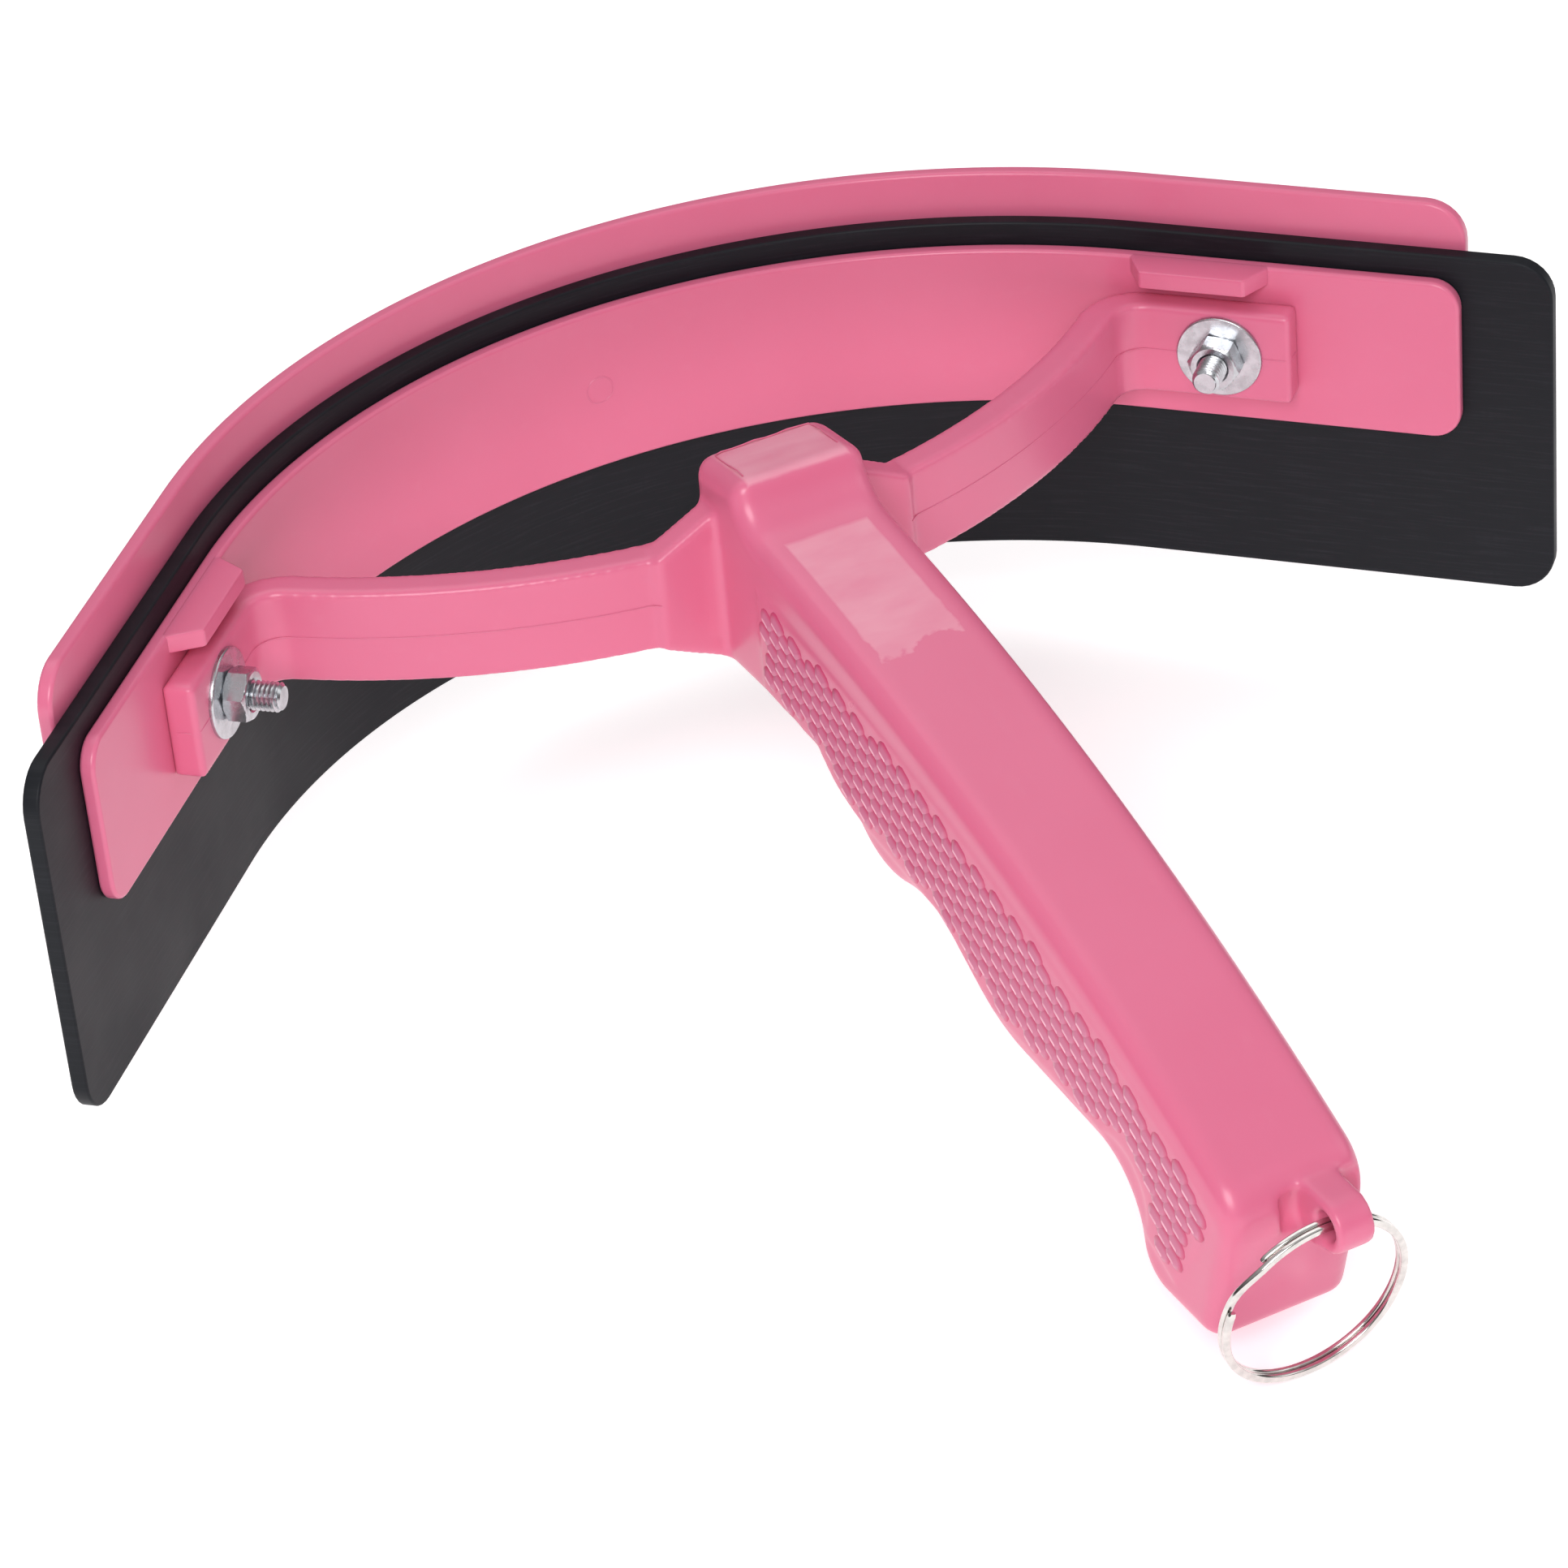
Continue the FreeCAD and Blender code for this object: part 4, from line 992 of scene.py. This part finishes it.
def moulded_polypropylene(with_neck_patches):
    """Polypropylene moulded in a polished tool: an even, slightly deep gloss with
    faint cloudy flow and an orange-peel skin. Where it is rubbed on the neck's roof it goes
    pale and matt, and on the grip behind the neck a pale, matt patch is a painted highlight."""
    name = "glossy moulded polypropylene" + (", rubbed at the neck" if with_neck_patches else "")
    ready = bpy.data.materials.get(name)
    if ready:
        return ready
    finish = sizes("finishes")
    material, tree, shader, coords = new_material(name)
    pink, scuffed_and_highlight = tuple(finish.pink), tuple(finish.scuffed_and_highlight)
    deepening = (0.98, 0.95, 0.96)
    deeper = tuple(channel * share for channel, share in zip(pink, deepening)) + (1.0,)
    clouds = noise(tree, coords, 22.0 * MM, detail=2.0)
    flow = noise(tree, coords, 3.0 * MM, detail=4.0, stretch=(1.0, 6.0, 1.0))
    cloudy = add_node(tree, RANGE, span_inputs(clouds, 0.3, 0.7))
    base = add_node(tree, BLEND, blend_inputs(cloudy, pink, deeper), output=2, data_type="RGBA")
    flowed = add_node(tree, RANGE, span_inputs(flow, 0.6, 0.9, 0.0, 0.06))
    base = add_node(tree, BLEND, blend_inputs(flowed, base, scuffed_and_highlight), output=2, data_type="RGBA")
    gloss = add_node(tree, RANGE, span_inputs(clouds, 0.2, 0.8, 0.27, 0.33))
    if with_neck_patches:
        # Pale, matt patches on the handle: rubbed wear on the neck's roof and a painted highlight on the
        # grip behind the neck.
        rubbed = neck_wear_and_highlight(tree, coords)
        pale = add_node(tree, SUM, {0: rubbed, 1: 0.75}, operation="MULTIPLY")
        base = add_node(tree, BLEND, blend_inputs(pale, base, scuffed_and_highlight), output=2, data_type="RGBA")
        gloss = add_node(tree, SUM, {0: rubbed, 1: 0.18, 2: gloss}, operation="MULTIPLY_ADD")
    peel = noise(tree, coords, 1.6 * MM, detail=1.0)
    relief = {"Height": peel, "Strength": 0.03, "Distance": 0.1 * MM}
    bump = add_node(tree, "ShaderNodeBump", relief)
    for key, value in (("Base Color", base), ("Roughness", gloss), ("Normal", bump)):
        tree.links.new(value, shader.inputs[key])
    shader.inputs["IOR"].default_value = 1.49
    shader.inputs["Subsurface Weight"].default_value = 0.12
    shader.inputs["Subsurface Radius"].default_value = (1.0, 0.35, 0.4)
    shader.inputs["Subsurface Scale"].default_value = 1.2 * MM
    return material


def scale_polypropylene_painted_light():
    """The same glossy polypropylene on the grip's scales, with light painted into its colour:
    painted shade deep in the valleys, a greyish painted reflection on the slopes and
    pale painted highlights on the crests."""
    name = "moulded polypropylene, dulled by hands"
    ready = bpy.data.materials.get(name)
    if ready:
        return ready
    finish = sizes("finishes")
    material, tree, shader, coords = new_material(name)
    sunk, slope_reflection, pale = tuple(finish.sunk), tuple(finish.slope_reflection), tuple(finish.crest)
    lift = add_node(tree, "ShaderNodeAttribute", output="Fac", attribute_name="Lift")
    patch_noise = noise(tree, coords, 4.0 * MM)
    # Painted shade in the valleys, blending into a greyish painted reflection on the slopes.
    shade_to_reflection = add_node(tree, RANGE, span_inputs(lift, 0.12, 0.5))
    base = add_node(tree, BLEND, blend_inputs(shade_to_reflection, sunk, slope_reflection), output=2, data_type="RGBA")
    # A pale painted highlight along the crests, broken up in patches.
    top = add_node(tree, RANGE, span_inputs(lift, 0.88, 0.96))
    rubbed = add_node(tree, RANGE, span_inputs(patch_noise, 0.3, 0.65, 0.35, 1.0))
    crest = add_node(tree, SUM, {0: top, 1: rubbed}, operation="MULTIPLY")
    base = add_node(tree, BLEND, blend_inputs(crest, base, pale), output=2, data_type="RGBA")
    gloss = add_node(tree, RANGE, span_inputs(patch_noise, 0.2, 0.8, 0.26, 0.36))
    tree.links.new(base, shader.inputs["Base Color"])
    tree.links.new(gloss, shader.inputs["Roughness"])
    shader.inputs["IOR"].default_value = 1.49
    return material


def sheet_rubber():
    """Black rubber cut from calendered sheet: matt, with fine pale streaks along the
    way it was rolled and a faint dusty bloom. The streaks are drawn coarser than
    the real ones, so that they show."""
    finish = sizes("finishes")
    material, tree, shader, coords = new_material("calendered sheet rubber")
    black, dust = tuple(finish.rubber), tuple(finish.dust)
    flat = add_node(tree, "ShaderNodeUVMap", uv_map="Strip")
    streaks = noise(tree, flat, 0.5 * MM, detail=4.0, stretch=(22.0, 1.0, 1.0))
    weave = noise(tree, flat, 0.7 * MM, detail=2.0, stretch=(1.0, 8.0, 1.0))
    bloom = noise(tree, coords, 24.0 * MM, detail=4.0)
    rolled = add_node(tree, RANGE, span_inputs(streaks, 0.5, 0.78))
    broken = add_node(tree, RANGE, span_inputs(weave, 0.3, 0.7, 0.5, 1.0))
    lines = add_node(tree, SUM, {0: rolled, 1: broken}, operation="MULTIPLY")
    dusty = add_node(tree, RANGE, span_inputs(bloom, 0.3, 0.75))
    dusty = add_node(tree, SUM, {0: dusty, 1: 0.14}, operation="MULTIPLY")
    base = add_node(tree, BLEND, blend_inputs(dusty, black, dust), output=2, data_type="RGBA")
    lined = add_node(tree, SUM, {0: lines, 1: 0.5}, operation="MULTIPLY")
    base = add_node(tree, BLEND, blend_inputs(lined, base, dust), output=2, data_type="RGBA")
    relief = {"Height": streaks, "Strength": 0.25, "Distance": 0.05 * MM}
    bump = add_node(tree, "ShaderNodeBump", relief)
    gloss = add_node(tree, RANGE, span_inputs(bloom, 0.2, 0.8, 0.44, 0.6))
    for key, value in (("Base Color", base), ("Roughness", gloss), ("Normal", bump)):
        tree.links.new(value, shader.inputs[key])
    shader.inputs["IOR"].default_value = 1.52
    shader.inputs["Specular IOR Level"].default_value = 0.21
    return material


def zinc_plate():
    """Steel with bright zinc plate: a slightly cloudy, cool metal with a fine grain,
    drawn coarser than the real crystals so that it shows."""
    name = "bright zinc plated steel"
    ready = bpy.data.materials.get(name)
    if ready:
        return ready
    finish = sizes("finishes")
    material, tree, shader, coords = new_material(name)
    bright = tuple(finish.zinc)
    dull = tuple(channel * 0.72 for channel in bright[:3]) + (1.0,)
    cloud = noise(tree, coords, 2.2 * MM, detail=4.0)
    grain = noise(tree, coords, 0.35 * MM, detail=2.0)
    cloudy = add_node(tree, RANGE, span_inputs(cloud, 0.35, 0.75))
    base = add_node(tree, BLEND, blend_inputs(cloudy, bright, dull), output=2, data_type="RGBA")
    relief = {"Height": grain, "Strength": 0.18, "Distance": 0.04 * MM}
    bump = add_node(tree, "ShaderNodeBump", relief)
    gloss = add_node(tree, RANGE, span_inputs(cloud, 0.3, 0.8, 0.2, 0.36))
    for key, value in (("Base Color", base), ("Roughness", gloss), ("Normal", bump)):
        tree.links.new(value, shader.inputs[key])
    shader.inputs["Metallic"].default_value = 1.0
    return material


def nickel_wire():
    """Hardened steel wire with bright nickel plate: mirror-like, with a faint haze."""
    finish = sizes("finishes")
    material, tree, shader, coords = new_material("bright nickel plated wire")
    bright = tuple(finish.nickel)
    dull = tuple(channel * 0.82 for channel in bright[:3]) + (1.0,)
    haze = noise(tree, coords, 1.5 * MM, detail=3.0)
    hazy = add_node(tree, RANGE, span_inputs(haze, 0.4, 0.7))
    base = add_node(tree, BLEND, blend_inputs(hazy, bright, dull), output=2, data_type="RGBA")
    gloss = add_node(tree, RANGE, span_inputs(haze, 0.3, 0.8, 0.07, 0.18))
    tree.links.new(base, shader.inputs["Base Color"])
    tree.links.new(gloss, shader.inputs["Roughness"])
    shader.inputs["Metallic"].default_value = 1.0
    return material


def studio_floor():
    """Painted board, matt and white, with a little light of its own to stay white."""
    material, tree, shader, coords = new_material("matt white studio floor")
    shade = noise(tree, coords, 0.6, detail=1.0)
    tones = blend_inputs(shade, linear("#FCFCFC"), linear("#FAFAFA"))
    base = add_node(tree, BLEND, tones, output=2, data_type="RGBA")
    tree.links.new(base, shader.inputs["Base Color"])
    shader.inputs["Roughness"].default_value = 0.9
    shader.inputs["Emission Color"].default_value = linear("#FFFFFF")
    shader.inputs["Emission Strength"].default_value = 0.4
    return material


# Operators

class SCRAPER_OT_rubber(bpy.types.Operator):
    """Adds the bowed rubber blade"""
    bl_idname = "scraper.rubber"
    bl_label = "Rubber Blade"

    def execute(self, context):
        blade = sizes("blade")
        piece = strip_piece(
            "rubber_blade",
            "rubber_sheet",
            half_run=blade.rubber_length / 2.0,
            near=0.0,
            far=blade.rubber_thick,
            corner=blade.rubber_corner,
            rounding=blade.rubber_round,
            material=sheet_rubber(),
        )
        return {"FINISHED"}


class SCRAPER_OT_outer_plate(bpy.types.Operator):
    """Adds the tall clamp plate on the outside of the bow"""
    bl_idname = "scraper.outer_plate"
    bl_label = "Outer Plate"

    def execute(self, context):
        blade = sizes("blade")
        piece = strip_piece(
            "back_plate",
            "outer_plate",
            half_run=blade.plate_length / 2.0,
            near=blade.rubber_thick,
            far=blade.rubber_thick + blade.plate_thick,
            corner=blade.outer_corner,
            rounding=blade.plate_round,
            material=moulded_polypropylene(False),
        )
        return {"FINISHED"}


class SCRAPER_OT_inner_plate(bpy.types.Operator):
    """Adds the clamp plate on the handle's side, with its two stops"""
    bl_idname = "scraper.inner_plate"
    bl_label = "Inner Plate"

    def execute(self, context):
        blade = sizes("blade")

        def details(shape, top):
            add_stops(shape, top)
            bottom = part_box("front_plate")[0].z
            add_ejector_mark(shape, 0.0, (top + bottom) / 2.0, blade.ejector / 2.0)

        piece = strip_piece(
            "front_plate",
            "inner_plate",
            half_run=blade.plate_length / 2.0,
            near=-blade.plate_thick,
            far=0.0,
            corner=blade.inner_corner,
            rounding=blade.plate_round,
            material=moulded_polypropylene(False),
            extra=details,
        )
        return {"FINISHED"}


class SCRAPER_OT_handle(bpy.types.Operator):
    """Adds the one-piece grip, neck, arms and feet"""
    bl_idname = "scraper.handle"
    bl_label = "Handle"

    def execute(self, context):
        grip = sizes("grip")
        piece = new_object("moulded_handle", refined("handle", 4))
        moulded(piece, grip.grain, grip.softening)
        piece.data.materials.append(moulded_polypropylene(True))
        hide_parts("handle")
        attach(piece, SCRAPER)
        return {"FINISHED"}


class SCRAPER_OT_scales(bpy.types.Operator):
    """Adds the rows of raised scales on both flanks of the grip"""
    bl_idname = "scraper.scales"
    bl_label = "Grip Scales"

    def execute(self, context):
        grip = sizes("grip")
        tree = scale_tree()
        climb, lean, fall = grip.scale_climb, grip.row_lean, grip.crest_fall
        along = Vector((0.0, -math.cos(climb), math.sin(climb))) * grip.scale_step
        down = Vector((0.0, math.sin(lean), -math.cos(lean))) * grip.row_step
        crest = Vector((0.0, -math.cos(fall), -math.sin(fall))) * grip.crest_run
        for name, side in SIDES:
            face, plane = panel_outline(side)
            panel = new_object("panel_face", face)
            shape = scale_mesh(crest, side, grip.scale_rise, grip.scale_reach)
            scale = new_object("scale", shape)
            low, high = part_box("handle")
            piece = new_object(name + "_scales", bpy.data.meshes.new(name + "_scales"))
            nodes_on(piece, tree, {
                "Panel": panel,
                "Scale": scale,
                "Along": along,
                "Down": down,
                "Middle": (side * plane, (low.y + high.y) * 0.55, (low.z + high.z) / 2.0),
                "Rows": 90,
                "Rim": grip.scale_margin,
                "Inward": (-side, 0.0, 0.0),
                "Material": scale_polypropylene_painted_light(),
            })
            for helper in (panel, scale):
                bpy.data.objects.remove(helper)
            crisp(piece, 50.0)
            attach(piece, SCRAPER)
        return {"FINISHED"}


def trace_roof(shape):
    """The ragged line of flash that the mould leaves round the back of the neck's roof."""
    grip = sizes("grip")
    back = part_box("handle")[1].y
    skin = bpy.data.objects["moulded_handle"]
    spacing = 0.8 * MM
    proud, tooth = 0.12 * MM, 0.3 * MM
    half, near, far = grip.roof_half, back - grip.roof_near, back - grip.roof_far
    route = [(-half, near), (-half, far), (half, far), (half, near)]
    last = None
    for start, end in zip(route, route[1:]):
        start, end = Vector(start + (0.0,)), Vector(end + (0.0,))
        count = max(1, round((end - start).length / spacing))
        for step in range(count):
            spot = start.lerp(end, step / count)
            _, place, _, _ = skin.ray_cast((spot.x, spot.y, 0.1), (0.0, 0.0, -1.0))
            ripple = math.sin(spot.x * 900.0) * math.sin(spot.y * 700.0 + 1.0)
            lift = proud + tooth * max(0.0, ripple)
            point = shape.verts.new(place + Vector((0.0, 0.0, lift)))
            if last:
                shape.edges.new((last, point))
            last = point


class SCRAPER_OT_flash(bpy.types.Operator):
    """Adds the raised mould line round the arms and feet, and the flash on the neck"""
    bl_idname = "scraper.flash"
    bl_label = "Mould Line"

    def execute(self, context):
        grip = sizes("grip")
        low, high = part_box("left_bolt")
        level = (low.z + high.z) / 2.0
        neck_side = 23.0 * MM
        shape = bmesh.new()
        shape.from_mesh(bpy.data.objects["moulded_handle"].data)
        everything = list(shape.verts) + list(shape.edges) + list(shape.faces)
        cut = bmesh.ops.bisect_plane(
            shape,
            geom=everything,
            dist=1e-7,
            plane_co=(0, 0, level),
            plane_no=(0, 0, 1),
        )
        kept = {
            item for item in cut["geom_cut"]
            if isinstance(item, bmesh.types.BMEdge)
            and all(abs(vert.co.x) > neck_side for vert in item.verts)
        }
        bmesh.ops.delete(shape, geom=list(shape.faces), context="FACES_ONLY")
        bmesh.ops.delete(shape, geom=[edge for edge in shape.edges if edge not in kept], context="EDGES")
        trace_roof(shape)
        mesh = bpy.data.meshes.new("mould_line")
        shape.to_mesh(mesh)
        shape.free()
        piece = new_object("mould_line", mesh)
        nodes_on(piece, flash_tree(), {
            "Bead Radius": grip.flash,
            "Material": moulded_polypropylene(False),
        })
        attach(piece, SCRAPER)
        return {"FINISHED"}


class SCRAPER_OT_fasteners(bpy.types.Operator):
    """Adds both bolts with their washers and nuts"""
    bl_idname = "scraper.fasteners"
    bl_label = "Bolts, Washers and Nuts"

    def execute(self, context):
        zinc = zinc_plate()
        turns = {"left": math.radians(12.0), "right": math.radians(21.0)}
        for name, side in SIDES:
            for node, title, build, degrees in (
                (name + "_bolt", name + "_screw", build_bolt, 30.0),
                (name + "_washer", name + "_flat_washer", build_washer, 40.0),
                (name + "_nut", name + "_hex_nut", build_nut, 22.0),
            ):
                piece = fastener(node, title, side, turns[name], build, zinc, degrees)
        return {"FINISHED"}


class SCRAPER_OT_split_ring(bpy.types.Operator):
    """Adds the two-coil split ring"""
    bl_idname = "scraper.split_ring"
    bl_label = "Split Ring"

    def execute(self, context):
        mesh = mesh_from("split_ring_wire", build_ring)
        mesh.materials.append(nickel_wire())
        piece = new_object("split_ring_wire", mesh)
        crisp(piece, 60.0)
        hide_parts("split_ring")
        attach(piece, RING)
        return {"FINISHED"}


class SCRAPER_OT_stage(bpy.types.Operator):
    """Adds the pale floor, the soft lights and the camera"""
    bl_idname = "scraper.stage"
    bl_label = "Stage"

    def execute(self, context):
        add_floor()
        add_world()
        add_lights()
        add_camera()
        return {"FINISHED"}


def add_floor():
    """A wide white floor just under the ring."""
    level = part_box("split_ring")[0].z - 0.6 * MM
    half = 4.0
    corners = ((-1, -1), (1, -1), (1, 1), (-1, 1))

    def build(shape):
        shape.faces.new([shape.verts.new((x * half, y * half, level)) for x, y in corners])
        bmesh.ops.subdivide_edges(shape, edges=shape.edges, cuts=3, use_grid_fill=True)

    floor = new_object("studio_floor", mesh_from("studio_floor", build))
    floor.data.materials.append(studio_floor())


def add_world():
    """A studio that is bright overhead and dim round the walls, for the metals to mirror."""
    world = bpy.data.worlds.new("soft studio")
    world.use_nodes = True
    tree = world.node_tree
    background = tree.nodes["Background"]
    way = add_node(tree, "ShaderNodeTexCoord", output="Generated")
    height = add_node(tree, "ShaderNodeSeparateXYZ", {0: way}, output=2)
    strength = add_node(tree, RANGE, span_inputs(height, 0.12, 0.75, 0.07, 0.64))
    tree.links.new(strength, background.inputs["Strength"])
    background.inputs["Color"].default_value = linear("#F4F2F3")
    bpy.context.scene.world = world


def add_lights():
    """A key from the front left, a weak fill from the right and a soft top light."""
    aim = Vector((0.0, -0.1, 0.03))
    for name, place, size, power in (
        ("key", (-0.75, -1.15, 0.95), 0.8, 15.2),
        ("fill", (1.2, -0.7, 0.9), 0.9, 2.4),
        ("top", (0.1, 0.5, 1.5), 1.2, 4.5),
    ):
        lamp = bpy.data.lights.new(name, "AREA")
        lamp.energy = power
        lamp.size = size
        holder = new_object(name, lamp)
        holder.location = place
        holder.rotation_euler = (aim - Vector(place)).to_track_quat("-Z", "Y").to_euler()


def add_camera():
    """Looks at the grip's root from the left, above and behind the handle."""
    azimuth, elevation, roll = (math.radians(value) for value in (-24.94, 33.57, -5.31))
    aim = Vector((-36.1, -141.4, 53.5)) * MM
    distance = 878.6 * MM
    flat = math.cos(elevation)
    back = Vector((
        math.sin(azimuth) * flat,
        -math.cos(azimuth) * flat,
        math.sin(elevation),
    ))
    level = Vector((math.cos(azimuth), math.sin(azimuth), 0.0))
    above = back.cross(level)
    right = level * math.cos(roll) + above * math.sin(roll)
    up = back.cross(right)
    turn = Matrix((right, up, back)).transposed().to_4x4()
    lens = bpy.data.cameras.new("camera")
    lens.lens = 133.42
    lens.sensor_width = 36.0
    lens.clip_start = 0.05
    camera = new_object("camera", lens)
    camera.matrix_world = Matrix.Translation(aim + back * distance) @ turn
    bpy.context.scene.camera = camera
    bpy.context.scene.view_settings.view_transform = "Standard"


OPERATORS = (
    SCRAPER_OT_rubber,
    SCRAPER_OT_outer_plate,
    SCRAPER_OT_inner_plate,
    SCRAPER_OT_handle,
    SCRAPER_OT_scales,
    SCRAPER_OT_flash,
    SCRAPER_OT_fasteners,
    SCRAPER_OT_split_ring,
    SCRAPER_OT_stage,
)
GROUPS = (
    ("blade", BladeSizes),
    ("fasteners", FastenerSizes),
    ("grip", GripSizes),
    ("split_ring", RingSizes),
    ("finishes", Finishes),
)


class SCRAPER_PT_panel(bpy.types.Panel):
    """Lists the pieces of the scraper"""
    bl_idname = "SCRAPER_PT_panel"
    bl_label = "Sweat Scraper"
    bl_space_type = "VIEW_3D"
    bl_region_type = "UI"
    bl_category = "Scraper"

    def draw(self, context):
        for operator in OPERATORS:
            self.layout.operator(operator.bl_idname)


def register():
    for _, group in GROUPS:
        bpy.utils.register_class(group)
    for name, group in GROUPS:
        setattr(bpy.types.Scene, "scraper_" + name, PointerProperty(type=group))
    for item in OPERATORS + (SCRAPER_PT_panel,):
        bpy.utils.register_class(item)


def unregister():
    for item in reversed(OPERATORS + (SCRAPER_PT_panel,)):
        bpy.utils.unregister_class(item)
    for name, group in reversed(GROUPS):
        delattr(bpy.types.Scene, "scraper_" + name)
        bpy.utils.unregister_class(group)


def main():
    register()
    for operator in OPERATORS:
        group, action = operator.bl_idname.split(".")
        getattr(getattr(bpy.ops, group), action)()


if __name__ == "__main__":
    main()
